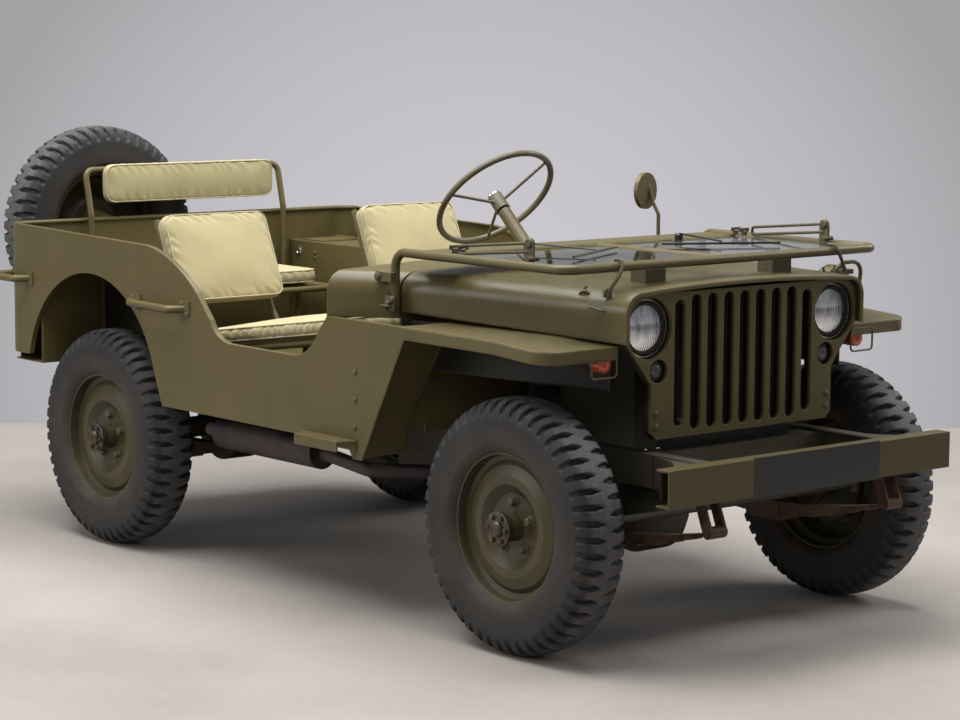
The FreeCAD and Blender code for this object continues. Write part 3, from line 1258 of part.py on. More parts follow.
def make_floor():
    """Floor pan: sloping toe boards, front floor, heel step and rear floor."""
    half = size.body_half_width - size.edge_lip - 1
    toe_at = size.dash_at + 55
    path = [
        (size.firewall_at + size.skin, size.floor_top + 150),
        (toe_at, size.floor_top),
        (size.rear_floor_start, size.floor_top),
        (size.rear_floor_start + 6, size.rear_floor_top),
        (size.body_rear - size.skin - 1, size.rear_floor_top),
    ]
    pan = side_prism(path + offset_path(path, -size.skin)[::-1], (-half, half))
    low = size.floor_top - 12
    wheel_room = block((size.wheelhouse_inner, half + 1),
                       (size.wheelhouse_front, size.body_rear - size.body_corner), (low, 700))
    narrow = block((size.cowl_front_half - 10, half + 1), (0, size.dash_at - 20), (low, 900))
    corner = block((half - 70, half + 1), (size.body_rear - size.body_corner, size.body_rear), (low, 900))
    cuts = []
    for solid in (wheel_room, narrow, corner):
        cuts += [solid, mirrored(solid)]
    cuts.append(block((-half - 9, half + 9), (0, size.firewall_at + size.skin), (0, 1200)))
    pan = pan.cut(cuts)
    tunnel_wide = 150
    hump = prism([
        point(-tunnel_wide, size.firewall_at + size.skin, size.floor_top),
        point(-tunnel_wide + 45, size.firewall_at + size.skin, size.floor_top + 130),
        point(tunnel_wide - 45, size.firewall_at + size.skin, size.floor_top + 130),
        point(tunnel_wide, size.firewall_at + size.skin, size.floor_top),
    ], point(0, 470, 0))
    inside = prism([
        point(-tunnel_wide + 5, size.firewall_at, size.floor_top - 8),
        point(-tunnel_wide + 49, size.firewall_at, size.floor_top + 126),
        point(tunnel_wide - 49, size.firewall_at, size.floor_top + 126),
        point(tunnel_wide - 5, size.firewall_at, size.floor_top - 8),
    ], point(0, 470, 0))
    centre = point(size.steering_reach, size.wheel_centre_at, size.wheel_centre_height)
    column = rod(centre, centre - column_axis() * 1100, size.column_radius + size.fit_gap)
    formed("floor_pan", fused(fused(pan, hump).cut(inside).cut(column), *make_seat_feet()))


def make_wheelhouse():
    """Wheelhouse and tool box: inner wall, flat top, sloping front and a partition."""
    inner = size.wheelhouse_inner
    outer = size.body_half_width - size.edge_lip - 1
    front = size.wheelhouse_front
    rear = size.body_rear - size.skin - 1
    top = size.wheelhouse_top
    low = size.rear_floor_top
    rise = [(front, low - size.skin), (front + 26, low + 54), (front + 63, low + 134), (front + 148, low + 239),
            (front + 225, top)]
    whole = side_prism(rise + [(rear, top), (rear, low), (rear - 200, low), (rear - 200, low - size.skin)],
                       (inner, outer))
    skin = size.skin
    room_end = size.wheelbase + 330
    under = offset_path([(front - 20, 0)] + rise + [(room_end, top)], -skin)
    room = side_prism(under + [(room_end, 0)], (inner + skin, outer + 5))
    chest = side_prism([(room_end + skin, low + skin), (room_end + skin, top - skin),
                        (rear - skin, top - skin), (rear - skin, low + skin)], (inner + skin, outer + 5))
    corner = plan_sweep(size.body_half_width - size.skin - 1, size.body_rear - size.skin - 1,
                        0, size.body_corner - size.skin - 1, 0, 2000)
    mouth = block((inner + 34, size.lid_hinge - 16), (room_end + 24, rear - 56), (top - 20, top + 20))
    shell = whole.common(corner).cut([room, chest, mouth])
    formed("wheelhouse_left", shell)
    formed("wheelhouse_right", mirrored(shell))
    seat = top + size.fit_gap
    lid = block((inner + 20, size.lid_hinge), (room_end + 12, rear - 44), (seat, seat + size.skin))
    knuckle = rod(point(size.lid_hinge, room_end + 20, seat + 5), point(size.lid_hinge, rear - 52, seat + 5), 5)
    lid = fused(lid, knuckle)
    formed("tool_lid_left", lid)
    formed("tool_lid_right", mirrored(lid))


def make_steps():
    """Foot steps below the door openings, outside the sides."""
    start = size.body_half_width
    front = size.fender_foot - 20
    rear = front + 252
    low = size.step_top - 30
    top = prism([point(start, front, size.step_top), point(start + size.step_reach, front + 18, size.step_top),
                 point(start + size.step_reach, rear - 30, size.step_top), point(start, rear, size.step_top)],
                point(0, 0, -size.skin))
    rim = prism([point(start + size.step_reach - size.skin, front + 17, low),
                 point(start + size.step_reach, front + 18, low),
                 point(start + size.step_reach, rear - 30, low),
                 point(start + size.step_reach - size.skin, rear - 28, low)], point(0, 0, 28))
    foot = block((start, start + size.skin), (front + 4, rear - 4), (low, size.step_top - 2))
    step = fused(top, rim, foot)
    formed("foot_steps", both(step))


def make_handles():
    """Grab handles: one on each side behind the door, one round each rear corner."""
    side = size.body_half_width
    reach = 48
    tube = 12
    height = 826
    front = bent_tube([point(side, 1480, height), point(side + reach, 1500, height),
                       point(side + reach, 1722, height + 4), point(side, 1742, height + 4)], tube, 16)
    pads = [block((side, side + 5), (along - 26, along + 26), (height - 22, height + 26))
            for along in (1474, 1748)]
    rear_at = size.body_rear
    round_corner = bent_tube([
        point(side, 2410, 850), point(side + reach, 2430, 850), point(side + reach, rear_at + reach, 850),
        point(side - 62, rear_at + reach, 850), point(side - 78, rear_at, 850),
    ], tube, 18)
    corner_pads = [block((side, side + 5), (2384, 2436), (828, 872)),
                   block((side - 104, side - 66), (rear_at, rear_at + 5), (828, 872))]
    inside = plan_sweep(side, rear_at, 0, size.body_corner, 0, 2000)
    one = fused(front, *pads).cut(inside)
    two = fused(round_corner, *corner_pads).cut(inside)
    formed("grab_handles", Part.makeCompound([one, mirrored(one), two, mirrored(two)]))


def make_spare_carrier():
    """Bracket on the rear panel that carries the spare wheel's hub face."""
    spare_plane = size.wheelbase + size.rear_overhang - size.tyre_half_width
    hub_face = spare_plane + size.disc_hub_face - size.rim_wall - 1
    centre = point(-size.spare_reach, size.body_rear, size.spare_height)
    cup = Part.makeCone(36, 62, hub_face - size.body_rear, centre, point(0, 1, 0))
    studs = [rod(point(centre.x + 38 * math.cos(turn), hub_face, centre.z + 38 * math.sin(turn)),
                 point(centre.x + 38 * math.cos(turn), hub_face + 26, centre.z + 38 * math.sin(turn)), 5)
             for turn in (math.pi / 2, math.pi * 7 / 6, math.pi * 11 / 6)]
    return fused(cup, *studs)


# Seats

def seat_height(along):
    """Top of the front cushions at a place along the car."""
    fall = (size.seat_front_height - size.seat_rear_height) / (size.seat_rear - size.seat_front)
    return size.seat_front_height - fall * (along - size.seat_front)


def wedge_cushion(across, front):
    """Front seat cushion, higher at its front edge."""
    rear = size.seat_rear
    thick = size.cushion_thick
    return side_prism([
        (front, seat_height(front) - thick), (rear, seat_height(rear) - thick),
        (rear, seat_height(rear)), (front, seat_height(front)),
    ], across)


def back_cushion(across):
    """Front backrest cushion, leaning back."""
    path = [(size.back_foot_at, size.back_foot_height), (size.back_top_at, size.back_top_height)]
    return side_prism(path + offset_path(path, -size.back_thick)[::-1], across)


def seat_frame(across, cushion_front):
    """Tube frame of a front seat: hinged front legs, rear legs, rails and back hoop."""
    tube = size.seat_tube
    base = size.cushion_thick + tube + size.fit_gap
    lean = math.atan2(size.back_top_height - size.back_foot_height, size.back_top_at - size.back_foot_at)
    behind = (size.back_thick + tube + size.fit_gap) / math.sin(lean)
    front = cushion_front + 30
    rear = size.seat_rear - 30
    inner = across[0] + size.seat_rail_inset
    outer = across[1] - size.seat_rail_inset
    floor = size.floor_top
    head_height = size.back_top_height - 40
    head_at = size.back_top_at - 40 / math.tan(lean) + behind
    parts = []
    for place in (inner, outer):
        parts.append(bent_tube([
            point(place, front, floor), point(place, front, seat_height(front) - base),
            point(place, rear + 68, seat_height(rear + 68) - base),
            point(place, size.back_foot_at + behind - 36 / math.tan(lean), size.back_foot_height - 36),
            point(place, head_at, head_height),
        ], tube, 20))
        parts.append(rod(point(place, rear - 40, seat_height(rear - 40) - base), point(place, rear - 20, floor), tube - 1))
    for along in (front + 60, rear - 60):
        height = seat_height(along) - base
        parts.append(rod(point(inner, along, height), point(outer, along, height), tube - 1.5))
    parts.append(rod(point(inner, head_at, head_height - 12), point(outer, head_at, head_height - 12), tube - 1.5))
    eye_height = floor + size.seat_pivot_height
    bores = []
    for place in (inner, outer):
        parts.append(Part.makeCylinder(14, 2 * tube - 2, point(place - tube + 1, front, eye_height), point(1, 0, 0)))
        bores.append(Part.makeCylinder(5 + size.fit_gap, 60, point(place - 30, front, eye_height), point(1, 0, 0)))
    below = block((0, 900), (front - 40, front + 40), (0, eye_height - 14))
    step = block((0, 900), (size.rear_floor_start - 10, 3000), (0, size.rear_floor_top))
    return fused(parts[0], *parts[1:]).cut([below, step] + bores)


def make_front_seats():
    """Two front seats: padded wedge and back on a tube frame."""
    half = size.seat_width / 2
    across = (size.seat_reach - half, size.seat_reach + half)
    for label, front in (("driver", size.driver_seat_front), ("passenger", size.seat_front)):
        cushions = Part.makeCompound([wedge_cushion(across, front), back_cushion(across)])
        frame = seat_frame(across, front)
        if label == "passenger":
            cushions = mirrored(cushions)
            frame = mirrored(frame)
        formed(f"{label}_cushions", cushions)
        formed(f"{label}_seat_frame", frame)


def make_rear_seat():
    """Rear bench between the wheelhouses with a narrow raised backrest."""
    half = size.rear_seat_half
    tube = size.seat_tube
    bottom = size.rear_seat_top - size.cushion_thick + 2
    seat = block((-half, half), (size.rear_seat_front, size.rear_seat_rear), (bottom, size.rear_seat_top))
    back_end = size.rear_back_at + size.rear_back_thick
    back = block((-half, half), (size.rear_back_at, back_end), (size.rear_back_foot, size.rear_back_top))
    formed("rear_cushions", Part.makeCompound([seat, back]))
    under = bottom - tube - size.fit_gap
    post = size.rear_post_reach
    post_at = size.rear_post_at
    edge = size.tail_top + 9
    head_at = back_end + tube + size.fit_gap
    head_height = size.rear_back_top - 29
    hoop = bent_tube([
        point(post, post_at, under), point(post, post_at, edge), point(post, head_at, head_height),
        point(-post, head_at, head_height), point(-post, post_at, edge), point(-post, post_at, under),
    ], tube, 30)
    loop = bent_tube([
        point(post, post_at, under), point(post, size.rear_seat_front - 12, under),
        point(-post, size.rear_seat_front - 12, under), point(-post, post_at, under),
    ], tube, 45)
    parts = [hoop, loop]
    for along in (size.rear_seat_front + 90, size.rear_seat_rear - 40):
        parts.append(rod(point(-post, along, under), point(post, along, under), tube))
    for side in (LEFT, RIGHT):
        leg = side * (half - 40)
        parts.append(rod(point(leg, size.rear_seat_front + 90, size.rear_floor_top),
                         point(leg, size.rear_seat_front + 90, under), tube - 1))
    formed("rear_seat_frame", fused(parts[0], *parts[1:]))


# Driver's place

def column_axis():
    """Unit vector up the steering column, towards the driver."""
    angle = math.radians(size.column_angle)
    return point(0, math.cos(angle), math.sin(angle))


def make_steering():
    """Steering box and column, and the three-spoke wheel on its shaft."""
    up = column_axis()
    centre = point(size.steering_reach, size.wheel_centre_at, size.wheel_centre_height)
    jacket_top = centre - up * 62
    gear_top = size.rail_top + 56
    foot = jacket_top - up * ((jacket_top.z - gear_top + 20) / up.z)
    jacket = rod(foot, jacket_top, size.column_radius)
    shaft_radius = 9
    bore = rod(jacket_top - up * 120, jacket_top + up * 5, shaft_radius + size.fit_gap)
    gear = block((size.rail_centre - size.rail_width / 2, centre.x + 40), (size.firewall_at + 14, foot.y + 10),
                 (size.rail_top, gear_top))
    formed("steering_column", fused(jacket.cut(bore), gear))
    rim = Part.makeTorus(size.steering_wheel_radius, size.steering_rim_radius, centre, up)
    side = point(1, 0, 0)
    cross = up.cross(side)
    spokes = []
    for turn in (67, 187, 307):
        angle = math.radians(turn)
        tip = centre + (side * math.cos(angle) + cross * math.sin(angle)) * size.steering_wheel_radius
        spokes.append(rod(centre - up * 26, tip, 5))
    hub = rod(centre - up * 56, centre + up * 4, 25)
    shaft = rod(centre - up * 160, centre - up * 40, shaft_radius)
    formed("steering_wheel", fused(rim, hub, shaft, *spokes))


def make_controls():
    """Gear, transfer and brake levers, and the three pedals."""
    floor = size.floor_top
    hump = floor + 130
    gear = bent_tube([point(0, 930, hump), point(0, 940, hump + 190), point(0, 1010, hump + 300)], 8, 60)
    knob = Part.makeSphere(21, point(0, 1010, hump + 300))
    transfer = [bent_tube([point(across, 900, hump), point(across, 910, hump + 120),
                           point(across, 950, hump + 190)], 7, 40) for across in (-55, -90)]
    tips = [Part.makeSphere(15, point(across, 950, hump + 190)) for across in (-55, -90)]
    pedals = []
    for across in (285, 455):
        arm = rod(point(across, 735, floor + 40), point(across, 820, floor + 130), 8)
        pad = rod(point(across, 815, floor + 125), point(across, 830, floor + 141), 32)
        pedals.append(fused(arm, pad))
    levers = [fused(gear, knob)] + [fused(stick, tip) for stick, tip in zip(transfer, tips)]
    tunnel = block((-200, 200), (600, 1100), (0, hump))
    toe_line = [(size.firewall_at + size.skin, floor + 150), (size.dash_at + 55, floor)]
    below = side_prism(toe_line + [(size.dash_at + 55, 0), (size.firewall_at, 0)], (0, 900))
    standing = [lever.cut(tunnel) for lever in levers] + [pedal.cut(below) for pedal in pedals]
    formed("levers_and_pedals", Part.makeCompound(standing))


make_rails()
make_crossmembers()
make_bumper()
make_rear_bumpers()
make_pintle()
make_front_axle()
make_rear_axle()
make_springs()
make_knuckle(LEFT, "knuckle_left")
make_knuckle(RIGHT, "knuckle_right")
make_tie_rod()
make_wheels()
make_power_train()
make_exhaust()
make_tank()
make_hood()
make_blocks()
make_cowl()
make_fender()
make_grille()
make_lamps()
make_blackout_lamp()
make_screen()
make_mirror()
make_sides()
make_rear_panel()
make_floor()
make_wheelhouse()
make_steps()
make_handles()
make_front_seats()
make_rear_seat()
make_steering()
make_controls()

doc.recompute()
for item in doc.Objects:
    if {"Invalid", "Error"} & set(item.State):
        raise SystemExit(f"{item.Label} failed: {item.State}")
os.makedirs("parts", exist_ok=True)
for piece in pieces:
    if piece.Shape.isNull() or not piece.Shape.isValid() or not piece.Shape.Solids:
        raise SystemExit(f"{piece.Label} has no valid solid")
for piece in pieces:
    piece.Shape.exportStep(f"parts/{piece.Label}.step")
print(len(pieces), "sub-parts written")
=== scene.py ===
"""Open army field car with folded windshield, slotted grille, canvas seats and lug tyres."""

import math

import bmesh
import bpy
import numpy as np
from mathutils import Matrix, Vector


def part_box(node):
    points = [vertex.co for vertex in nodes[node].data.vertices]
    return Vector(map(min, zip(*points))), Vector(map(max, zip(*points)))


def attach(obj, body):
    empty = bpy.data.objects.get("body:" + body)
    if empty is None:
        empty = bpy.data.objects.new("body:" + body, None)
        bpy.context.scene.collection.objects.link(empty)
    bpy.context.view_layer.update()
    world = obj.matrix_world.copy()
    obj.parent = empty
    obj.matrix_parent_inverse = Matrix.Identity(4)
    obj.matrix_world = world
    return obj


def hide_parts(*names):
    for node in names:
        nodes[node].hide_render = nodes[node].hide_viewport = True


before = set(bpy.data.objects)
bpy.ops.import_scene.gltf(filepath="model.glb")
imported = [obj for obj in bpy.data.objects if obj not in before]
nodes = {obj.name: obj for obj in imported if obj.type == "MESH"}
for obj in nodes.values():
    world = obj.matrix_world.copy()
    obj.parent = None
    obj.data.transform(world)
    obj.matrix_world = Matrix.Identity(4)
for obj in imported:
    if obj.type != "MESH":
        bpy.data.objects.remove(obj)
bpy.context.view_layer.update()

# Body: pressed steel sheet in satin olive drab, brushed and sprayed by hand. The paint is a little
# uneven, dusty low down and rubbed lighter on the edges, and painted shade darkens the faces that look
# down. It covers the sheets, the windshield's frame, the seats' tubes and the small parts.


class Wire:
    """A node's output; + - * / between wires and numbers add Math nodes."""

    def __init__(self, tree, socket):
        self.tree = tree
        self.socket = socket

    def node(self, kind, settings, inputs, output=0):
        """A new node: its settings first, then the values or links of its inputs."""
        made = self.tree.nodes.new(kind)
        for name, value in settings.items():
            setattr(made, name, value)
        for name, value in inputs.items():
            if isinstance(value, Wire):
                self.tree.links.new(value.socket, made.inputs[name])
            else:
                made.inputs[name].default_value = value
        return Wire(self.tree, made.outputs[output])

    def math(self, operation, first, second):
        """A Math node of two wires or numbers."""
        return self.node("ShaderNodeMath", {"operation": operation}, {0: first, 1: second})

    def __add__(self, other):
        return self.math("ADD", self, other)

    __radd__ = __add__

    def __mul__(self, other):
        return self.math("MULTIPLY", self, other)

    __rmul__ = __mul__

    def __sub__(self, other):
        return self.math("SUBTRACT", self, other)

    def __rsub__(self, other):
        return self.math("SUBTRACT", other, self)

    def part(self, index):
        """The x, y or z of a vector, by 0, 1 or 2."""
        return self.node("ShaderNodeSeparateXYZ", {}, {0: self}, index)

    def dot(self, other):
        """How far two directions agree: 1 along each other and 0 at right angles."""
        return self.node("ShaderNodeVectorMath", {"operation": "DOT_PRODUCT"}, {0: self, 1: other}, 1)

    def stretched(self, scale):
        """The place multiplied by a scale on each axis."""
        return self.node("ShaderNodeMapping", {}, {"Vector": self, "Scale": scale})

    def noise(self, scale, detail=3.0):
        """Noise of the place, in lumps of about 1 / scale metres."""
        return self.node("ShaderNodeTexNoise", {}, {"Vector": self, "Scale": scale, "Detail": detail})

    def between(self, low, high):
        """0 below low, 1 above high and straight in between."""
        inputs = {"Value": self, "From Min": low, "From Max": high}
        return self.node("ShaderNodeMapRange", {"clamp": True}, inputs)

    def blend(self, first, second):
        """The first colour where this wire is 0 and the second where it is 1."""
        inputs = {0: self, 6: first, 7: second}
        return self.node("ShaderNodeMix", {"data_type": "RGBA"}, inputs, 2)

    def raised(self, strength, distance, over=None):
        """A bump of this wire's height, over another normal if one is given."""
        inputs = {"Height": self, "Strength": strength, "Distance": distance}
        if over is not None:
            inputs["Normal"] = over
        return self.node("ShaderNodeBump", {}, inputs)


def shader_of(made):
    """A material's main shader."""
    return next(node for node in made.node_tree.nodes if node.type == "BSDF_PRINCIPLED")


def place_on(made):
    """A wire of the object's own coordinates in a material."""
    return Wire(made.node_tree, made.node_tree.nodes.new("ShaderNodeTexCoord").outputs["Object"])


def material(name, values):
    """A new material whose shader has plain values."""
    made = bpy.data.materials.new(name)
    made.use_nodes = True
    for socket, value in values.items():
        shader_of(made).inputs[socket].default_value = value
    return made


def feed(made, links):
    """Join wires to the shader's sockets by name."""
    for socket, wire in links.items():
        made.node_tree.links.new(wire.socket, shader_of(made).inputs[socket])


def scaled(colour, red, green, blue):
    """An opaque colour with its parts multiplied."""
    return colour[0] * red, colour[1] * green, colour[2] * blue, 1


def painted_shade_over(made, mask, share, dark):
    """Paint shade over a finished paint: its colour goes towards dark where the mask is 1."""
    paint = Wire(made.node_tree, shader_of(made).inputs["Base Color"].links[0].from_socket)
    feed(made, {"Base Color": (mask * share).blend(paint, dark)})


def painted(name, colour, dusty, roughness, dirt_top, edge=0.0035):
    """Brushed drab paint: two close shades in patches, dust up to dirt_top, and a fine orange peel.

    Edges shine as if rounded by the edge's radius, and the paint is rubbed lighter on them. Faces that
    look down are darkened with painted shade.
    """
    made = material(name, {"Specular IOR Level": 0.36})
    place = place_on(made)
    patches = place.noise(2.3, 5.0).between(0.35, 0.65)
    streaks = place.noise(9.0, 6.0).between(0.42, 0.70)
    mixed = (patches * 0.55 + streaks * 0.25).blend((*colour, 1), scaled(colour, 0.80, 0.80, 0.80))
    low = 1.0 - place.part(2).between(0.10, dirt_top)
    grime = low * place.noise(14.0, 8.0).between(0.35, 0.75)
    rounded = place.node("ShaderNodeBevel", {"samples": 6}, {"Radius": edge})
    normal = place.node("ShaderNodeNewGeometry", {}, {}, 1)
    turned_away = 1.0 - rounded.dot(normal)
    rubbed = turned_away.between(0.01, 0.20) * place.noise(22.0, 6.0).between(0.30, 0.62)
    dusted = (grime * 0.5).blend(mixed, (*dusty, 1))
    feed(made, {
        "Base Color": (rubbed * 0.55).blend(dusted, scaled(colour, 2.2, 2.2, 2.4)),
        "Roughness": patches * 0.08 + streaks * 0.07 + grime * 0.2 + roughness,
        "Normal": place.noise(260.0, 2.0).raised(0.06, 0.0006, rounded),
    })
    # Painted shade: faces that look down are darkened towards a dark drab.
    underside_shade = (0.0 - normal.part(2)).between(0.3, 0.8)
    painted_shade_over(made, underside_shade, 0.85, scaled(colour, 0.22, 0.21, 0.28))
    return made


def dress(names, finish):
    """Give CAD nodes a finish."""
    for name in names:
        for slot in nodes[name].material_slots:
            slot.material = finish


OLIVE = (0.108, 0.086, 0.032)
DUST = (0.16, 0.135, 0.085)
PRESSED_EDGE = 0.011
olive = painted("olive_paint", OLIVE, DUST, 0.30, 0.55)
dress([
    "cowl", "side_panel_left", "side_panel_right", "rear_panel", "floor_pan", "tool_lid_left",
    "tool_lid_right", "foot_steps", "grab_handles", "windshield_frame", "rear_bumpers", "fuel_tank",
    "steering_column", "mirror", "blackout_lamp", "driver_seat_frame", "passenger_seat_frame",
    "rear_seat_frame",
], olive)
dress(["hood"], painted("pressed_paint", OLIVE, DUST, 0.29, 0.55, PRESSED_EDGE))

# Fenders and wheelhouses: the outward-looking walls inside their arches are painted near black as painted
# shade.
ARCH_WALL, ARCH_RIM = 0.655, 0.675
arch_paint = painted("arch_paint", OLIVE, DUST, 0.34, 0.55, PRESSED_EDGE)
dress(["fender_left", "fender_right", "wheelhouse_left", "wheelhouse_right"], arch_paint)
from_middle = place_on(arch_paint).part(0)
normal = from_middle.node("ShaderNodeNewGeometry", {}, {}, 1)
outward = normal.part(0) * from_middle.math("SIGN", from_middle, 0.0)
inside = 1.0 - from_middle.math("ABSOLUTE", from_middle, 0.0).between(ARCH_WALL, ARCH_RIM)
# Painted shade: outward-looking walls inside the arches go near black.
painted_shade_over(arch_paint, outward.between(0.3, 0.7) * inside, 0.94, (0.007, 0.006, 0.004, 1))

# Grille: drab on its face alone; the slots' inner walls behind the face are painted near black as
# painted shade. The bumper below it has a darker drab.
FACE_DEPTH, DARK_DEPTH = 0.008, 0.013
grille_paint = painted("grille_paint", (0.098, 0.078, 0.027), DUST, 0.36, 0.5)
dress(["grille"], grille_paint)
grille_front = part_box("grille")[0].y
behind = place_on(grille_paint).part(1).between(grille_front + FACE_DEPTH, grille_front + DARK_DEPTH)
# Painted shade: the slots' walls behind the grille's face go near black.
painted_shade_over(grille_paint, behind, 0.96, (0.004, 0.004, 0.003, 1))
dress(["front_bumper"], painted("bumper_paint", (0.078, 0.062, 0.023), DUST, 0.36, 0.3))

# Chassis: channel rails, axles, knuckles and gearbox, in the same paint gone dull and oily.
# The springs and the exhaust have lost their paint and rusted brown. The lamps' cups are black, and
# the radiator is near black as painted shade behind the grille's slots.
underside = painted("chassis_paint", (0.050, 0.044, 0.028), (0.10, 0.085, 0.06), 0.55, 0.75)
dress([
    "frame_rail_left", "frame_rail_right", "frame_crossmembers", "front_axle", "rear_axle", "knuckle_left",
    "knuckle_right", "tie_rod", "engine_and_gearbox", "levers_and_pedals", "pintle_hook",
], underside)
black_and_shade = material("core_metal", {"Base Color": (0.010, 0.010, 0.010, 1), "Roughness": 0.7})
dress(["radiator", "head_lamps", "small_lamps"], black_and_shade)


def rusted(name, colour, scale):
    """Brown scale in patches over darker steel."""
    made = material(name, {"Metallic": 0.25})
    place = place_on(made)
    patches = place.noise(scale, 7.0).between(0.38, 0.62)
    feed(made, {
        "Base Color": patches.blend(scaled(colour, 0.35, 0.35, 0.4), (*colour, 1)),
        "Roughness": patches * 0.3 + 0.45,
        "Normal": place.noise(scale * 9, 4.0).raised(0.25, 0.001),
    })
    return made


dress(["leaf_springs"], rusted("bare_steel", (0.115, 0.062, 0.036), 20.0))
dress(["exhaust"], rusted("exhaust_steel", (0.062, 0.042, 0.040), 12.0))

# Road wheels: pressed steel discs with a drop-centre rim, in a darker drab, each held by
# five hexagon nuts on a circle round its hub. The nuts' paint is worn by the wrench.
wheel_names = ["wheel_front_left", "wheel_front_right", "wheel_rear_left", "wheel_rear_right"]
wheel_paint = painted("wheel_paint", (0.060, 0.049, 0.022), DUST, 0.36, 0.3)
dress(wheel_names + ["spare_wheel"], wheel_paint)
nut_paint = painted("hub_paint", (0.085, 0.072, 0.045), DUST, 0.45, 0.5)


def grid_faces(rows, columns, wrap_rows=False, wrap_columns=False):
    """Quads between neighbouring rows and columns of a grid, going round where it wraps."""
    row = np.arange(rows if wrap_rows else rows - 1)[:, None]
    column = np.arange(columns if wrap_columns else columns - 1)[None, :]
    below = (row + 1) % rows
    beside = (column + 1) % columns
    here, under = row * columns, below * columns
    corners = np.broadcast_arrays(here + column, here + beside, under + beside, under + column)
    return np.stack(corners, axis=-1).reshape(-1, 4)


SHARP_ANGLE = math.radians(38)
SAME_POINT = 1e-6


def add_piece(name, points, faces, body, slot, finish, smooth=True):
    """A new mesh object that rides on a body; its doubles are merged and its normals turned outwards."""
    mesh = bpy.data.meshes.new(name)
    mesh.from_pydata(np.asarray(points, float).reshape(-1, 3), [], [list(face) for face in faces])
    work = bmesh.new()
    work.from_mesh(mesh)
    bmesh.ops.remove_doubles(work, verts=work.verts, dist=SAME_POINT)
    bmesh.ops.recalc_face_normals(work, faces=work.faces)
    work.to_mesh(mesh)
    work.free()
    mesh.polygons.foreach_set("use_smooth", [smooth] * len(mesh.polygons))
    mesh.set_sharp_from_angle(angle=SHARP_ANGLE)
    mesh.materials.append(finish)
    piece = bpy.data.objects.new(name, mesh)
    bpy.context.scene.collection.objects.link(piece)
    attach(piece, body)
    return piece


def across(direction):
    """A direction as a unit vector, and two more at right angles to it and to each other."""
    direction = np.array(direction, float) / np.linalg.norm(direction)
    helper = np.array([0.0, 0.0, 1.0]) if abs(direction[2]) < 0.9 else np.array([1.0, 0.0, 0.0])
    first = np.cross(direction, helper)
    first /= np.linalg.norm(first)
    return direction, first, np.cross(direction, first)


def turned(profile, foot, direction, sides):
    """A profile of (along, radius) turned round an axis: foot + along d + radius (cos a u + sin a v)."""
    profile = np.array(profile, float)
    axis, first, second = across(direction)
    angle = np.linspace(0, 2 * np.pi, sides, endpoint=False)
    ring = np.cos(angle)[:, None] * first + np.sin(angle)[:, None] * second
    points = np.array(foot) + profile[:, 0, None, None] * axis + profile[:, 1, None, None] * ring
    return points.reshape(-1, 3), grid_faces(len(profile), sides, wrap_columns=True)


def joined(shapes):
    """Several (points, faces) as one."""
    points, faces, start = [], [], 0
    for some_points, some_faces in shapes:
        points.append(some_points)
        faces.extend((np.array(face) + start).tolist() for face in some_faces)
        start += len(some_points)
    return np.concatenate(points), faces


# A turned profile starts and ends this close to its axis, and a bolt's washer is this thick.
AXIS = 1e-5
WASHER = 0.0015


def hexagon_bolt(foot, direction, flats, height):
    """A hexagon head, as wide as its flats, with a chamfered top on a round washer."""
    corner = flats / math.sqrt(3)
    washer = [(0, AXIS), (0, corner * 1.35), (WASHER, corner * 1.35), (WASHER, AXIS)]
    head = [(0.001, AXIS), (0.001, corner), (height * 0.8, corner), (height, corner * 0.8), (height, AXIS)]
    return joined([turned(washer, foot, direction, 16), turned(head, foot, direction, 6)])


def bolt_circle(middle, side, out, radius, turns, flats, height):
    """Bolts round a wheel's axis: out along x, and radius · (cos turn, sin turn) in y and z."""
    feet = [(middle.x + side * out, middle.y + radius * math.cos(turn), middle.z + radius * math.sin(turn))
            for turn in turns]
    return [hexagon_bolt(foot, (side, 0, 0), flats, height) for foot in feet]


def wheel_place(name):
    """The middle of a wheel's tyre, the side its outer face looks to, and the body it turns with."""
    low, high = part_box(name.replace("wheel", "tyre"))
    middle = (low + high) / 2
    return middle, 1 if middle.x > 0 else -1, name.split("_", 1)[1] + "_wheel"


STUD_CIRCLE = 0.1397 / 2
FIRST_STUD = 0.3
NUT_FOOT, NUT_FLATS, NUT_HEIGHT = 0.0262, 0.022, 0.017
for name in wheel_names:
    middle, side, body = wheel_place(name)
    turns = np.arange(5) * 2 * math.pi / 5 + FIRST_STUD
    nuts = bolt_circle(middle, side, NUT_FOOT, STUD_CIRCLE, turns, NUT_FLATS, NUT_HEIGHT)
    add_piece(name + "_nuts", *joined(nuts), body, "olive_paint", nut_paint, smooth=False)

# Tyres: black moulded rubber. Grooves are cut into the tread from both shoulders and stop short
# of its middle, half a step apart on the two sides, and the walls are plain with three raised rings.
# The tread is scuffed grey, and the bead next to the rim has gone brown.
rubber = material("tyre_rubber", {"Specular IOR Level": 0.3})
place = place_on(rubber)
wear = place.noise(30.0, 6.0).between(0.4, 0.7)
from_hub = place.node("ShaderNodeAttribute", {"attribute_name": "from_hub"}, {}, 2)
scuffed = from_hub.between(0.342, 0.350) * (wear * 0.5 + 0.5)
browned = (1.0 - from_hub.between(0.215, 0.285)) * place.noise(7.0, 5.0).between(0.3, 0.7)
greyed = place.noise(5.0, 5.0).between(0.35, 0.7) * 0.8
plain_rubber = greyed.blend((0.019, 0.0185, 0.019, 1), (0.037, 0.034, 0.032, 1))
wall_rubber = browned.blend(plain_rubber, (0.060, 0.043, 0.030, 1))
feed(rubber, {
    "Base Color": scuffed.blend(wall_rubber, (0.092, 0.090, 0.090, 1)),
    "Roughness": wear * 0.18 + 0.55,
    "Normal": place.noise(180.0, 3.0).raised(0.12, 0.0006),
})
TYRE_RADIUS = 0.354
TYRE_HALF = 0.081
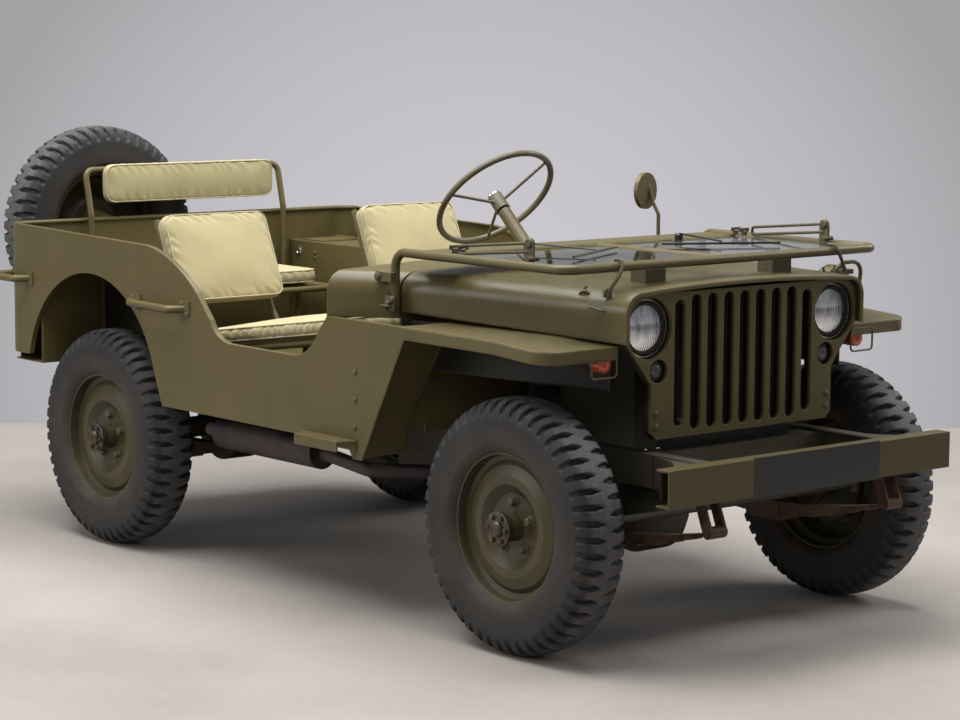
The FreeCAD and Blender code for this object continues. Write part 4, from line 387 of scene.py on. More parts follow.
TYRE_RISE = 0.080
GROOVES = 50
GROOVE_DEPTH = 0.0135
STEPS_A_GROOVE = 12
UNCUT_MIDDLE = 0.008
GROOVE_SHARE = 0.21
GROOVE_LEAN = 2.2
SHOULDER_REACH, SHOULDER_RADIUS = 0.058, 0.305
WALL_RINGS = [(0.262, 0.0018, 0.0030), (0.226, 0.0016, 0.0030), (0.300, 0.0020, 0.0022)]


def tyre_surface():
    """Outwards and radius of a tyre over (section angle, turn).

    The carcass is a squashed ring: outwards = half · sin a, radius = middle + rise · cos a, both flattened.
    Grooves run from each shoulder towards the middle, leaning with the reach and half a step apart on the
    two sides. Each is as wide as its share of the step, narrows to nothing before the middle and goes down
    the shoulder as a scallop.
    Each ring on the wall is height · exp(-(distance from its radius / width)²).
    """
    section = np.radians(np.concatenate([
        np.linspace(-152, -95, 12), np.linspace(-88, -40, 17), np.linspace(-37, 37, 31),
        np.linspace(40, 88, 17), np.linspace(95, 152, 12)]))[:, None]
    turn = np.linspace(0, 2 * np.pi, GROOVES * STEPS_A_GROOVE, endpoint=False)[None, :]
    flat = np.sign(np.sin(section)) * np.abs(np.sin(section)) ** 0.74
    tall = np.sign(np.cos(section)) * np.abs(np.cos(section)) ** 0.52
    outwards = TYRE_HALF * flat + 0 * turn
    radius = TYRE_RADIUS - TYRE_RISE + TYRE_RISE * tall + 0 * turn
    side = np.sign(outwards + 1e-9)
    reach = np.abs(outwards)
    step = (turn * GROOVES / (2 * np.pi) + 0.25 * side + GROOVE_LEAN * reach) % 1.0
    share = GROOVE_SHARE * np.clip((reach - UNCUT_MIDDLE) / 0.026, 0, 1) ** 0.7
    cut = np.clip((share - np.abs(step - 0.5)) / 0.06, 0, 1) * (reach > UNCUT_MIDDLE)
    shoulder = np.clip((radius - SHOULDER_RADIUS) / 0.016, 0, 1)
    depth = GROOVE_DEPTH * cut * shoulder
    slope = np.clip((reach - SHOULDER_REACH) / 0.020, 0, 1)
    radius = radius - depth * (1 - 0.55 * slope)
    outwards = outwards - side * depth * 0.45 * slope
    rings = sum(height * np.exp(-((radius - ring) / width) ** 2) for ring, height, width in WALL_RINGS)
    return outwards + side * rings * (reach < TYRE_HALF - 0.0005), radius, turn + 0 * section


def vertices_of(piece):
    """All of a piece's vertices as rows."""
    flat = np.zeros(len(piece.data.vertices) * 3)
    piece.data.vertices.foreach_get("co", flat)
    return flat.reshape(-1, 3)


outwards, radius, turn = tyre_surface()
tyre_faces = grid_faces(*outwards.shape, wrap_rows=True, wrap_columns=True)
for name in ["tyre_front_left", "tyre_front_right", "tyre_rear_left", "tyre_rear_right", "spare_tyre"]:
    middle, _, body = wheel_place(name)
    axle = 0
    if name == "spare_tyre":
        axle = 1
        body = "car"
    section = [radius * np.cos(turn), radius * np.sin(turn)]
    section.insert(axle, outwards)
    points = np.array(middle) + np.stack(section, axis=-1)
    tread = add_piece(name + "_tread", points, tyre_faces, body, "tyre_rubber", rubber)
    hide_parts(name)
    corners = vertices_of(tread) - np.array(middle)
    corners[:, axle] = 0
    hub_distance = tread.data.attributes.new("from_hub", "FLOAT", "POINT")
    hub_distance.data.foreach_set("value", np.linalg.norm(corners, axis=1).astype(np.float32))

# Cushions: cotton canvas covers over hair pads, boxed with a corded seam round each edge.
# Each pad is blown up as cloth held along its seams, puckered beside them, and the cord is laid
# on the seams.
canvas = material("canvas", {"Specular IOR Level": 0.2, "Sheen Weight": 0.12})
place = place_on(canvas)
tone = place.noise(6.0, 6.0).between(0.3, 0.7)
weave = place.noise(900.0, 2.0)
creases = place.stretched((1.0, 1.0, 0.35)).noise(24.0, 5.0)
feed(canvas, {
    "Base Color": (tone * 0.6).blend((0.420, 0.366, 0.205, 1), (0.345, 0.298, 0.160, 1)),
    "Roughness": weave * 0.15 + 0.75,
    "Normal": (weave * 0.10 + creases).raised(0.42, 0.007),
})
VOXEL = 0.008
PRESSURE = 5.0
BLOW_FRAMES = 20
SWELL = 0.018
SOFT_EDGE = 0.016
PAD_CORNER = 0.034
PUCKER = 0.0024
PUCKER_REACH = 0.013
PIPE = 0.0026
LOOP_STEP = 0.012


def tube(path, radius, sides=8, closed=False):
    """A round cord along a path: path + radius (cos a u + sin a v), with u and v carried along it."""
    path = np.array(path, float)
    ahead = np.roll(path, -1, axis=0) - np.roll(path, 1, axis=0)
    if not closed:
        ahead[0] = path[1] - path[0]
        ahead[-1] = path[-1] - path[-2]
    ahead /= np.linalg.norm(ahead, axis=1)[:, None]
    lead = np.array([0.0, 0.0, 1.0]) if abs(ahead[:, 2]).max() < 0.95 else np.array([0.31, 0.52, 0.79])
    first = np.cross(ahead, lead)
    first /= np.linalg.norm(first, axis=1)[:, None]
    second = np.cross(ahead, first)
    angle = np.linspace(0, 2 * np.pi, sides, endpoint=False)
    cosine, sine = np.cos(angle)[None, :, None], np.sin(angle)[None, :, None]
    ring = cosine * first[:, None, :] + sine * second[:, None, :]
    points = (path[:, None, :] + radius * ring).reshape(-1, 3)
    faces = grid_faces(len(path), sides, closed, True).tolist()
    if not closed:
        last = (len(path) - 1) * sides
        faces += [list(range(sides))[::-1], list(range(last, last + sides))]
    return points, faces


def rounded_loop(corners, bend, steps=6):
    """A closed path whose corners are cut back by bend: (1-t)² start + 2t(1-t) corner + t² end."""
    corners = np.array(corners, float)
    path = []
    for index, corner in enumerate(corners):
        before = corners[index - 1] - corner
        after = corners[(index + 1) % len(corners)] - corner
        start = corner + before / np.linalg.norm(before) * bend
        end = corner + after / np.linalg.norm(after) * bend
        share = np.linspace(0, 1, steps)[:, None]
        path.append((1 - share) ** 2 * start + 2 * share * (1 - share) * corner + share ** 2 * end)
    rough = np.concatenate(path)
    fine = []
    for index, here in enumerate(rough):
        there = rough[(index + 1) % len(rough)]
        count = max(1, int(np.linalg.norm(there - here) / LOOP_STEP))
        fine.append(here + (there - here) * (np.arange(count) / count)[:, None])
    return np.concatenate(fine)


def drawn_in(corners, amount):
    """Four corners moved in along both of their edges."""
    corners = np.array(corners, float)
    ahead = np.roll(corners, -1, axis=0) - corners
    ahead /= np.linalg.norm(ahead, axis=1)[:, None]
    return corners + amount * (ahead - np.roll(ahead, 1, axis=0))


def gathers(pad, points, seams):
    """Puckers of the cloth beside its cords: a sine of the place along the normal, fading from the seam."""
    normals = np.zeros(points.size)
    pad.data.vertices.foreach_get("normal", normals)
    away = np.min(np.linalg.norm(points[:, None, :] - seams[None, ::2, :], axis=2), axis=1)
    along = points @ np.array([1.0, 1.3, 0.4])
    wave = np.sin(118 * along + 2.6 * np.sin(31 * along) + 1.4 * np.sin(57 * along + 1.0))
    height = PUCKER * wave * np.exp(-((away - PUCKER_REACH) / PUCKER_REACH) ** 2)
    return height[:, None] * normals.reshape(-1, 3)


def settle_mesh(piece):
    """Keep what the modifiers make of a mesh, and drop them."""
    graph = bpy.context.evaluated_depsgraph_get()
    made = bpy.data.meshes.new_from_object(piece.evaluated_get(graph))
    piece.modifiers.clear()
    piece.data = made


def cushion(name, body, top, drop, node):
    """A boxed pad with soft edges: top is its upper face's four corners, drop the way to the lower face.

    Its wall is a stack of loops, drawn in by the edge's radius at the faces and by a third of it at the
    cords. The pad is remeshed, held along its seams and blown up as cloth, and no point moves by more
    than the swell.
    """
    drop = np.array(drop, float)
    down = drop / np.linalg.norm(drop)
    third = SOFT_EDGE * 0.3
    steps = [(SOFT_EDGE, 0), (third, third), (0, SOFT_EDGE)]
    levels = [(inwards, down * depth) for inwards, depth in steps]
    levels += [(inwards, drop - down * depth) for inwards, depth in steps[::-1]]
    count = len(rounded_loop(top, PAD_CORNER))
    loops = []
    for inwards, at in levels:
        loop = rounded_loop(drawn_in(top, inwards), PAD_CORNER) + at
        closed = np.concatenate([loop, loop[:1]])
        share, knots = np.linspace(0, len(loop), count, endpoint=False), np.arange(len(closed))
        loops.append(np.stack([np.interp(share, knots, closed[:, axis]) for axis in range(3)], -1))
    upper, lower = loops[1], loops[-2]
    last = (len(loops) - 1) * count
    faces = grid_faces(len(loops), count, wrap_columns=True).tolist()
    faces += [list(range(count))[::-1], list(range(last, last + count))]
    pad = add_piece(name, np.concatenate(loops), faces, body, "canvas", canvas)
    remesh = pad.modifiers.new("remesh", "REMESH")
    remesh.mode = "VOXEL"
    remesh.voxel_size = VOXEL
    settle_mesh(pad)
    rest = vertices_of(pad)
    seams = np.concatenate([upper, lower])
    distance = np.min(np.linalg.norm(rest[:, None, :] - seams[None, ::2, :], axis=2), axis=1)
    held = pad.vertex_groups.new(name="seams")
    held.add(np.nonzero(distance < VOXEL)[0].tolist(), 1.0, "REPLACE")
    cloth = pad.modifiers.new("cloth", "CLOTH")
    cloth.settings.use_pressure = True
    cloth.settings.uniform_pressure_force = PRESSURE
    cloth.settings.effector_weights.gravity = 0
    cloth.settings.vertex_group_mass = "seams"
    cloth.settings.tension_stiffness = 12
    for step in range(1, BLOW_FRAMES + 1):
        bpy.context.scene.frame_set(step)
    settle_mesh(pad)
    move = vertices_of(pad) - rest
    length = np.linalg.norm(move, axis=1)[:, None]
    capped = rest + move * np.minimum(1, SWELL / np.maximum(length, 1e-9))
    pad.data.vertices.foreach_set("co", (capped + gathers(pad, capped, seams)).ravel())
    pad.data.polygons.foreach_set("use_smooth", [True] * len(pad.data.polygons))
    bpy.context.scene.frame_set(1)
    finer = pad.modifiers.new("finer", "SUBSURF")
    finer.levels = 1
    finer.render_levels = 1
    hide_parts(node)
    cords = joined([tube(upper, PIPE, 8, True), tube(lower, PIPE, 8, True)])
    add_piece(name + "_piping", *cords, body, "canvas", piping)


piping = material("piping", {"Roughness": 0.7})
threads = place_on(piping).noise(60.0, 3.0)
feed(piping, {"Base Color": threads.blend((0.37, 0.325, 0.185, 1), (0.44, 0.39, 0.23, 1))})


def node_corners(name):
    """The distinct corner points of a CAD node, as rows."""
    flat = np.zeros(len(nodes[name].data.vertices) * 3, np.float32)
    nodes[name].data.vertices.foreach_get("co", flat)
    return np.unique(np.round(flat.reshape(-1, 3), 5), axis=0)


def pads_of(node, label, body, split, swell):
    """Seat pad and back pad of a seat, from the corners of its CAD solids, in front of split and behind it.

    Each solid's side view is four corners: the pad's long way is its longer edge, its drop the shorter
    one, and both are drawn in by swell so that the blown pad stays in the solid.
    """
    corners = node_corners(node)
    low_x, high_x = corners[:, 0].min() + swell, corners[:, 0].max() - swell
    seat = corners[corners[:, 1] < split]
    back = corners[corners[:, 1] >= split]
    for part, what in ((seat, "seat"), (back, "back")):
        side = np.unique(np.round(part[:, 1:], 5), axis=0)
        middle = side.mean(axis=0)
        order = np.argsort(np.arctan2(*(side - middle).T[::-1]))
        loop = side[order]
        first, second = loop[1] - loop[0], loop[2] - loop[1]
        if np.linalg.norm(first) < np.linalg.norm(second):
            loop = np.roll(loop, -1, axis=0)
        long_way = (loop[1] - loop[0]) / np.linalg.norm(loop[1] - loop[0])
        thin_way = (loop[3] - loop[0]) / np.linalg.norm(loop[3] - loop[0])
        start = loop[0] + (long_way + thin_way) * swell
        end = loop[1] + (thin_way - long_way) * swell
        drop = thin_way * (np.linalg.norm(loop[3] - loop[0]) - 2 * swell)
        face = [(low_x, *start), (high_x, *start), (high_x, *end), (low_x, *end)]
        cushion(f"{label}_{what}_cushion", body, face, (0, *drop), node)


front_low, front_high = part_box("driver_cushions")
front_split = (front_low.y + front_high.y) / 2 + 0.19
rear_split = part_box("rear_cushions")[1].y - 0.055
pads_of("driver_cushions", "driver", "car", front_split, 0.010)
pads_of("passenger_cushions", "passenger", "passenger_seat_body", front_split, 0.010)
pads_of("rear_cushions", "rear", "car", rear_split, 0.008)

# Lamps: each head lamp is one sealed unit of ribbed glass, silvered inside, in a bright steel rim.
# Turn lamps, marker lamps and tail lamps have small glasses that stand out of their steel cups, and
# a bent wire guards each turn lamp.
FRONT_AXLE = wheel_place("tyre_front_left")[0].y


def spot(x, y, z):
    """A place in millimetres from the middle of the front axle on the ground, in the frame's metres."""
    return np.array([x / 1000, y / 1000 + FRONT_AXLE, z / 1000])


def spots(*places):
    """Several places, as rows."""
    return np.array([spot(*place) for place in places])


def turned_mm(profile, foot, direction, sides):
    """A turned shape from (along, radius) in millimetres."""
    return turned(np.array(profile) / 1000, foot, direction, sides)


def lathe(name, profile, foot, direction, body, slot, finish, sides):
    """A turned piece from (along, radius) in millimetres."""
    add_piece(name, *turned_mm(profile, foot, direction, sides), body, slot, finish)


silver = material("silver", {"Metallic": 1.0, "Roughness": 0.12, "Base Color": (0.86, 0.87, 0.88, 1)})
rim_steel = material("rim_steel", {"Metallic": 0.9, "Roughness": 0.25, "Base Color": (0.55, 0.53, 0.46, 1)})
silvered = material("lamp_glass", {
    "Roughness": 0.10, "Metallic": 0.72, "Coat Weight": 1.0, "Coat Roughness": 0.04,
})
place = place_on(silvered)
ribs = place.node("ShaderNodeTexWave", {"bands_direction": "X"}, {"Vector": place, "Scale": 40.0}, 1)
cloudy = place.stretched((1.0, 1.0, 0.35)).noise(42.0, 4.0)
# Painted highlight: the lower part of each head lamp's glass goes near white.
painted_highlight = 1.0 - place.part(2).between(0.850, 0.884)
streaks = cloudy.between(0.36, 0.62) * 0.7 + ribs * 0.3
streaked = streaks.blend((0.26, 0.28, 0.31, 1), (0.80, 0.83, 0.87, 1))
feed(silvered, {
    "Base Color": painted_highlight.blend(streaked, (0.98, 0.99, 1.0, 1)),
    "Normal": (ribs * 0.5 + cloudy).raised(0.50, 0.004),
})
dress(["head_lamp_lenses"], silvered)
amber = material("amber_glass", {
    "Base Color": (0.62, 0.085, 0.02, 1), "Roughness": 0.14, "Transmission Weight": 0.25,
    "Coat Weight": 0.5,
})
ruby = material("red_glass", {"Base Color": (0.30, 0.012, 0.01, 1), "Roughness": 0.15, "Coat Weight": 0.6})
pale = material("marker_glass", {
    "Base Color": (0.22, 0.23, 0.23, 1), "Roughness": 0.12, "Transmission Weight": 0.6,
})
BACKWARDS = (0, 1, 0)
RIM_PROFILE = [(0, 83), (-7, 82), (-9, 79), (-9, 76.5), (-5, 75.5), (0, 75.5), (0, 83)]
MARKER_PROFILE = [(0, 0.01), (-7, 8), (-5, 15), (-1, 20), (4, 20.5), (4, 0.01)]
TURN_PROFILE = [(0, 0.01), (-9, 8), (-8, 17), (-5, 23.5), (1, 24), (30, 24), (30, 22), (30, 0.01)]
TAIL_PROFILE = [(0, 0.01), (5, 10), (3.5, 20), (0, 25), (-3, 26), (-3, 0.01)]
GUARD_FRONT, GUARD_TOP, GUARD_FOOT, GUARD_HALF = -202, 836, 770, 46
for side, hand in ((1, "left"), (-1, "right")):
    lathe(f"lamp_rim_{hand}", RIM_PROFILE, spot(side * 366, -200.5, 896), BACKWARDS, "car", "lamp_steel",
          rim_steel, 48)
    for part, profile, foot, glass in (("marker", MARKER_PROFILE, (side * 330, -212.5, 777), pale),
                                       ("turn", TURN_PROFILE, (side * 500, -188.5, 806), amber),
                                       ("tail", TAIL_PROFILE, (side * 610, 2591, 690), ruby)):
        lathe(f"{part}_glass_{hand}", profile, spot(*foot), BACKWARDS, "car", "lamp_glass", glass, 28)
    inner, outer = side * 510 - GUARD_HALF, side * 510 + GUARD_HALF
    guard = spots((inner, GUARD_FRONT, GUARD_TOP), (outer, GUARD_FRONT, GUARD_TOP),
                  (outer, GUARD_FRONT, GUARD_FOOT), (inner, GUARD_FRONT, GUARD_FOOT))
    add_piece(f"turn_guard_{hand}", *tube(rounded_loop(guard, 0.014), 0.0030, 8, True), "car", "lamp_steel",
              olive)

# Bumper, grille and hood: a plain black plate on the bumper's face, two bolts at each side of the
# grille's foot, and, near the hood's front corners, a bent spring catch and a footman loop for a strap.
bolt_paint = painted("bolt_paint", (0.095, 0.080, 0.042), DUST, 0.45, 0.5)
black = material("black_plate", {"Base Color": (0.012, 0.012, 0.013, 1), "Roughness": 0.28})


def plate_between(first, second):
    """A box between two opposite corners, as points and faces."""
    low, high = np.minimum(first, second), np.maximum(first, second)
    corners = [[x, y, z] for x in (low[0], high[0]) for y in (low[1], high[1]) for z in (low[2], high[2])]
    faces = [(0, 1, 3, 2), (4, 6, 7, 5), (0, 4, 5, 1), (2, 3, 7, 6), (0, 2, 6, 4), (1, 5, 7, 3)]
    return np.array(corners), faces


def bolts(name, places, direction, body, flats, height):
    """Hexagon bolts at places in millimetres, all looking one way."""
    heads = [hexagon_bolt(spot(*place), direction, flats, height) for place in places]
    add_piece(name, *joined(heads), body, "olive_paint", bolt_paint, smooth=False)


bumper_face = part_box("front_bumper")[0].y
plate_shape = plate_between((-0.241, bumper_face - 0.0003, 0.4575), (0.257, bumper_face + 0.004, 0.5655))
add_piece("front_plate", *plate_shape, "car", "olive_paint", black, smooth=False)
grille_y = (grille_front - FRONT_AXLE) * 1000
grille_feet = [(side * 338, grille_y, height) for side in (1, -1) for height in (625, 662)]
bolts("grille_bolts", grille_feet, (0, -1, 0), "car", 0.013, 0.005)


def bar(path, radius):
    """A round bar through points in millimetres, its corners softened as a rounded loop's are."""
    points = np.array([spot(*place) for place in path])
    smooth = [points[0]]
    for before, corner, after in zip(points, points[1:], points[2:]):
        bend = 0.4 * min(np.linalg.norm(before - corner), np.linalg.norm(after - corner), 0.04)
        start = corner + (before - corner) / np.linalg.norm(before - corner) * bend
        end = corner + (after - corner) / np.linalg.norm(after - corner) * bend
        share = np.linspace(0, 1, 5)[:, None]
        smooth.extend((1 - share) ** 2 * start + 2 * share * (1 - share) * corner + share ** 2 * end)
    smooth.append(points[-1])
    return tube(np.array(smooth), radius / 1000)


HOOD_SIDE = 457
LOOP_IN, LOOP_OUT = 6, 24
for side, hand in ((1, "left"), (-1, "right")):
    near = side * (HOOD_SIDE + 4)
    catch = [
        plate_between(spot(near, -98, 968), spot(near + side * 4, -56, 990)),
        bar([(near + side * 4, -60, 978), (near + side * 17, -66, 988), (near + side * 15, -88, 996),
             (near + side * 3, -94, 984)], 4.2),
        bar([(near + side * 6, -78, 978), (near + side * 14, -80, 1000), (near + side * 5, -84, 1006)],
            3.2),
    ]
    add_piece(f"hood_catch_{hand}", *joined(catch), "hood_body", "olive_paint", bolt_paint)
    loop = bar([(near + side * LOOP_IN, -171, 944), (near + side * LOOP_OUT, -166, 947),
                (near + side * LOOP_OUT, -114, 954), (near + side * LOOP_IN, -108, 953)], 3.6)
    add_piece(f"footman_loop_{hand}", *loop, "hood_body", "olive_paint", bolt_paint)

# Windshield: two flat panes in a thin inner frame of round bar, with wipers, swing arms and wing
# nuts. It is folded forward onto two oak blocks, and hooks from the hood's shoulders hold it down.
window = material("flat_glass", {
    "Transmission Weight": 1.0, "Roughness": 0.01, "IOR": 1.30, "Base Color": (0.93, 0.96, 0.95, 1),
})
dress(["windshield_glass"], window)
wood = material("oak", {"Roughness": 0.62})
grain = place_on(wood).stretched((2.0, 14.0, 14.0)).noise(7.0, 5.0)
feed(wood, {
    "Base Color": grain.blend((0.070, 0.058, 0.034, 1), (0.135, 0.112, 0.066, 1)),
    "Normal": grain.raised(0.2, 0.001),
})
dress(["hood_blocks"], wood)
dark_steel = material("dark_steel", {
    "Base Color": (0.035, 0.034, 0.030, 1), "Metallic": 0.6, "Roughness": 0.4,
})
seal_rubber = material("seal_rubber", {"Base Color": (0.014, 0.014, 0.014, 1), "Roughness": 0.8})
PLANE = 1062
INNER_EDGE = 598
PANE_FRONT, PANE_BACK = -128, 372
ARM_X = 583
WING_NUT_X = 560
for side, hand in ((1, "left"), (-1, "right")):
    pane_frame = [
        bar([(side * 12, PANE_FRONT, PLANE), (side * INNER_EDGE, PANE_FRONT, PLANE)], 8),
        bar([(side * 9, PANE_FRONT, PLANE), (side * 9, PANE_BACK, PLANE)], 6),
        bar([(side * INNER_EDGE, PANE_FRONT, PLANE), (side * INNER_EDGE, PANE_BACK, PLANE)], 7),
    ]
    add_piece(f"pane_frame_{hand}", *joined(pane_frame), "windshield_body", "olive_paint", olive)
    wiper = [
        bar([(side * 300, 350, PLANE + 10), (side * 300, 350, PLANE + 24), (side * 250, 120, PLANE + 18)],
            2.6),
        bar([(side * 90, 205, PLANE + 12), (side * 410, 35, PLANE + 12)], 3.4),
    ]
    add_piece(f"wiper_{hand}", *joined(wiper), "windshield_body", "lamp_steel", dark_steel)
    lathe(f"wiper_pivot_{hand}", [(0, 0.01), (0, 13), (16, 13), (20, 9), (20, 0.01)],
          spot(side * 300, 350, PLANE + 4), (0, 0, 1), "windshield_body", "lamp_steel", dark_steel, 20)
    near = side * (HOOD_SIDE + 3)
    hook = [
        plate_between(spot(near, -176, 962), spot(near + side * 5, -146, 1000)),
        bar([(near + side * 6, -164, 972), (near + side * 8, -172, 1000), (side * 442, -180, 1036),
             (side * 424, -180, 1066), (side * 420, -170, 1082), (side * 420, -144, 1080)], 5.2),
        bar([(near + side * 9, -154, 984), (near + side * 8, -166, 1006)], 3.6),
    ]
    add_piece(f"hold_down_{hand}", *joined(hook), "hood_body", "olive_paint", bolt_paint)
    arm_x = side * ARM_X
    arm = [
        bar([(arm_x, 22, 1122), (arm_x, 318, 1094), (arm_x, 318, 1072), (arm_x, 22, 1098)], 4.6),
        plate_between(spot(arm_x - 3, 2, 1056), spot(arm_x + 3, 38, 1118)),
        turned_mm([(-9, 0.01), (-9, 11), (-6, 14), (6, 14), (9, 11), (9, 0.01)], spot(arm_x, 20, 1122),
                  (side, 0, 0), 24),
        turned_mm([(-20, 0.01), (-20, 7), (20, 7), (20, 0.01)], spot(arm_x, 8, 1080), (side, 0, 0), 16),
    ]
    add_piece(f"swing_arm_{hand}", *joined(arm), "windshield_body", "olive_paint", bolt_paint)
    nut_x = side * WING_NUT_X
    for along in (330, 366):
        nut = [
            turned_mm([(0, 0.01), (0, 9), (12, 9), (14, 6), (14, 0.01)], spot(nut_x, along, PLANE + 8),
                      (0, 0, 1), 16),
            plate_between(spot(nut_x - 19, along - 2, PLANE + 18), spot(nut_x + 19, along + 2, PLANE + 30)),
        ]
        add_piece(f"wing_nut_{hand}_{along}", *joined(nut), "windshield_body", "olive_paint", bolt_paint)
strip = plate_between(spot(-560, 541, PLANE - 8), spot(560, 549, PLANE - 1))
add_piece("apron_seal", *strip, "windshield_body", "tyre_rubber", seal_rubber, smooth=False)

# Steering wheel: rim and spokes in one brushed drab, with a silvered horn button pressed into the
# hub along the column.
dress(["steering_wheel"], painted("steering_rim", (0.105, 0.090, 0.048), DUST, 0.30, 0.1))
COLUMN_ANGLE = math.radians(43)
column_way = np.array([0, math.cos(COLUMN_ANGLE), math.sin(COLUMN_ANGLE)])
BUTTON_PROFILE = [(4.1, 0.01), (4.1, 24), (8, 24), (14, 19), (17, 8), (17.5, 0.01)]
lathe("horn_button", BUTTON_PROFILE, spot(370, 1284, 1140), column_way, "steering_wheel_body",
      "olive_paint", silver, 32)

# Instrument panel: one large and four small dials, plain and black, each in a thin drab bezel
# that is screwed to the cowl's rear face.
panel_y = (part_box("cowl")[1].y - FRONT_AXLE) * 1000
dial_face = material("dial_face", {"Base Color": (0.01, 0.01, 0.01, 1), "Roughness": 0.2})
DIALS = [(0, 940, 40), (-78, 962, 26), (78, 962, 26), (-78, 905, 26), (78, 905, 26)]
for index, (x, z, r) in enumerate(DIALS):
    bezel = [(0, 0.01), (0, r + 4), (3, r + 4), (5, r), (3.4, r - 1), (3.4, 0.01)]
    disc = [(0.5, 0.01), (0.5, r - 1), (1.0, r - 1), (1.0, 0.01)]
    lathe(f"dial_bezel_{index}", bezel, spot(x, panel_y - 3, z), BACKWARDS, "car", "olive_paint",
          bolt_paint, 32)
    lathe(f"dial_{index}", disc, spot(x, panel_y, z), BACKWARDS, "car", "lamp_steel", dial_face, 32)

# Hubs: on each wheel a forged barrel of brown oily steel, with a drive flange held by six bolts
# and a domed cap.
hub_steel = material("hub_steel", {"Metallic": 0.7})
oily = place_on(hub_steel).noise(35.0, 5.0).between(0.35, 0.65)
feed(hub_steel, {
    "Base Color": oily.blend((0.110, 0.090, 0.070, 1), (0.045, 0.034, 0.024, 1)),
    "Roughness": oily * 0.25 + 0.28,
})
HUB_PROFILE = [(26.5, 38), (75.3, 38), (75.3, 47), (76.5, 48.7), (87.5, 48.7), (88.7, 47), (88.7, 24),
               (96, 23.2), (100.5, 20), (102.6, 14), (103, 0.01)]
FLANGE_FACE, FLANGE_CIRCLE = 0.0885, 0.036
for name in wheel_names:
    middle, side, body = wheel_place(name)
    parts = [turned_mm(HUB_PROFILE, middle, (side, 0, 0), 40)]
    parts += bolt_circle(middle, side, FLANGE_FACE, FLANGE_CIRCLE, np.arange(6) * math.pi / 3, 0.013, 0.008)
    add_piece(name + "_hub", *joined(parts), body, "cast_parts", hub_steel)

# Body fittings: bolts at the windshield's pivots, on the sides and at the grab handles' feet, a clamp
# with a knob on each leg of the windshield, and a round lock and two screws on each tool box.
LOCK_PROFILE = [(0, 0.01), (0, 17), (3, 17), (6, 13), (6, 6), (4, 5), (4, 0.01)]
for side, hand in ((1, "left"), (-1, "right")):
    outwards = (side, 0, 0)
    inwards = (-side, 0, 0)
    bolts(f"pivot_bolt_{hand}", [(side * 640.5, 613, 990)], outwards, "windshield_body", 0.020, 0.008)
    side_places = [(side * 725.2, 610, height) for height in (560, 640, 720)]
    bolts(f"side_bolts_{hand}", side_places, outwards, "car", 0.012, 0.004)
    leg = side * 627
    outer = leg + side * 6
    clamp = [
        plate_between(spot(leg, 548, 894), spot(outer, 592, 936)),
        hexagon_bolt(spot(outer, 557, 926), outwards, 0.012, 0.006),
        hexagon_bolt(spot(outer, 583, 902), outwards, 0.012, 0.006),
        turned_mm([(0, 0.01), (0, 8), (11, 8), (13, 5), (13, 0.01)], spot(outer, 570, 915), outwards, 16),
        plate_between(spot(leg + side * 14, 550, 908), spot(leg + side * 26, 590, 911)),
    ]
    add_piece(f"leg_clamp_{hand}", *joined(clamp), "windshield_body", "olive_paint", bolt_paint)
    box_x = side * 457.3
    lathe(f"tool_lock_{hand}", LOCK_PROFILE, spot(box_x, 2494, 876), inwards, "car", "lamp_steel",
          silver, 28)
    lock_places = [(box_x, 2396, height) for height in (858, 876)]
    bolts(f"lock_screws_{hand}", lock_places, inwards, "car", 0.009, 0.004)
    for along in (1474, 1748):
        handle_places = [(side * 730, along + step, 826 + step) for step in (-15, 15)]
        bolts(f"handle_bolts_{hand}_{along}", handle_places, outwards, "car", 0.011, 0.006)

# Camera and light: a broad soft room with a pale concrete floor, seen from the right front
# corner through a long lens, and lit by four large soft lights.
PHOTO_WIDTH = 960
SENSOR_WIDTH = 36
FOCAL_PIXELS = 2676.86
YAW, PITCH, ROLL = math.radians(40.11), math.radians(7.25), math.radians(0.34)
eye = Vector(spot(-5332.8, -5412.5, 1720.65))
ahead = Vector((math.cos(PITCH) * math.sin(YAW), math.cos(PITCH) * math.cos(YAW), -math.sin(PITCH)))
level = Vector((math.cos(YAW), -math.sin(YAW), 0))
upright = level.cross(ahead)
right = math.cos(ROLL) * level + math.sin(ROLL) * upright
above = -math.sin(ROLL) * level + math.cos(ROLL) * upright
lens = bpy.data.cameras.new("camera")
lens.sensor_width = SENSOR_WIDTH
lens.lens = SENSOR_WIDTH * FOCAL_PIXELS / PHOTO_WIDTH
lens.clip_end = 200
camera = bpy.data.objects.new("camera", lens)
camera.matrix_world = Matrix.Translation(eye) @ Matrix((right, above, -ahead)).transposed().to_4x4()
bpy.context.scene.collection.objects.link(camera)
bpy.context.scene.camera = camera

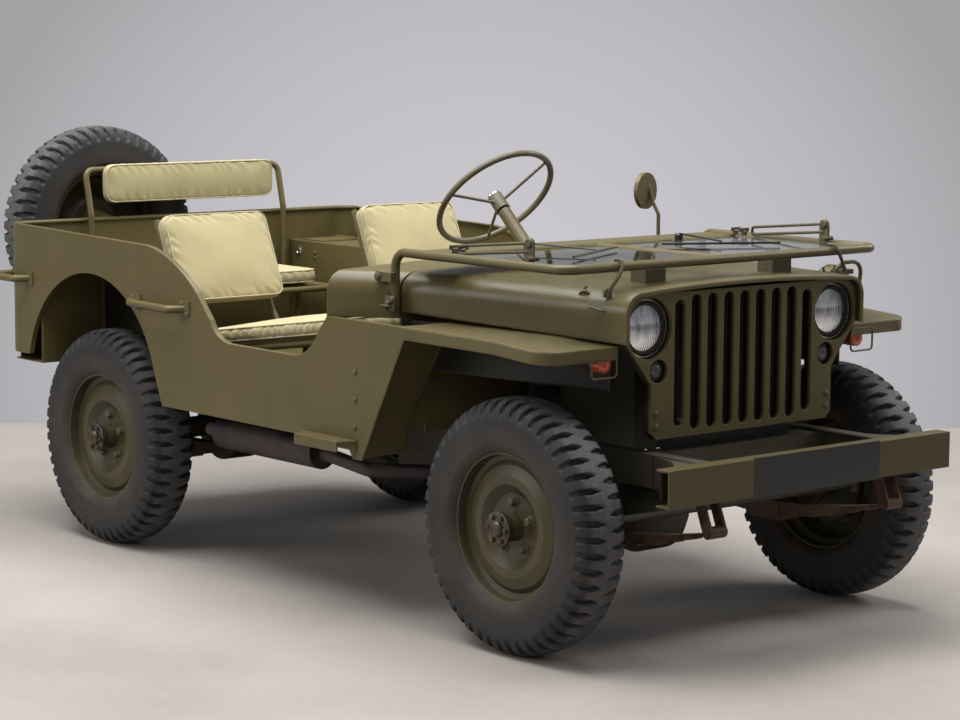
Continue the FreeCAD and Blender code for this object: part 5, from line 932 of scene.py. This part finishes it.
FLOOR_END, FLOOR_LENGTH, FLOOR_HALF = 11.3, 60, 40
concrete = material("concrete", {"Specular IOR Level": 0.25})
place = place_on(concrete)
stains = place.noise(0.9, 6.0).between(0.3, 0.7)
grit = place.noise(18.0, 8.0)
feed(concrete, {
    "Base Color": (stains * 0.7 + grit * 0.3).blend((0.285, 0.258, 0.232, 1), (0.405, 0.370, 0.338, 1)),
    "Roughness": stains * 0.15 + 0.5,
    "Normal": grit.raised(0.08, 0.002),
})
way = Vector((math.sin(YAW), math.cos(YAW), 0))
far_edge = Vector((eye.x, eye.y, 0)) + way * FLOOR_END
floor_mesh = bpy.data.meshes.new("floor")
near_edge = far_edge - way * FLOOR_LENGTH
aside = level * FLOOR_HALF
floor_mesh.from_pydata([far_edge + aside, far_edge - aside, near_edge - aside, near_edge + aside], [],
                       [(0, 1, 2, 3)])
floor_mesh.materials.append(concrete)
floor = bpy.data.objects.new("floor", floor_mesh)
bpy.context.scene.collection.objects.link(floor)

# The room is a sky of plain colours by direction: its end wall is bright low down, and the rest duller.
world = bpy.data.worlds.new("room")
bpy.context.scene.world = world
world.use_nodes = True
tree = world.node_tree
facing = Wire(tree, tree.nodes.new("ShaderNodeTexCoord").outputs["Generated"])
wall = facing.dot(tuple(ahead)).between(0.980, 1.0).blend((0.37, 0.37, 0.385, 1), (0.60, 0.585, 0.62, 1))
low_down = 1.0 - facing.part(2).between(0.01, 0.12)
room = low_down.blend((0.235, 0.235, 0.24, 1), wall)
tree.links.new(room.socket, tree.nodes["Background"].inputs["Color"])


def soft_box(name, place, aim, size, power):
    """A large oblong area light at a place, turned to a point."""
    light = bpy.data.lights.new(name, "AREA")
    light.shape = "RECTANGLE"
    light.size, light.size_y = size
    light.energy = power
    lamp = bpy.data.objects.new(name, light)
    lamp.location = place
    lamp.rotation_mode = "QUATERNION"
    lamp.rotation_quaternion = (Vector(aim) - Vector(place)).to_track_quat("-Z", "Y")
    bpy.context.scene.collection.objects.link(lamp)


soft_box("overhead_light", (-0.6, 0.2, 5.2), (0, 0, 0.5), (5.0, 5.5), 640)
soft_box("front_light", (-6.5, -6.0, 4.2), (0, -0.5, 0.7), (3.0, 2.0), 40)
soft_box("side_light", (-6.5, 3.0, 3.2), (0, 0.3, 0.8), (3.5, 2.5), 135)
soft_box("far_light", (5.5, -2.0, 4.0), (0, -0.3, 0.8), (4.0, 2.5), 170)
bpy.context.scene.view_settings.view_transform = "Standard"
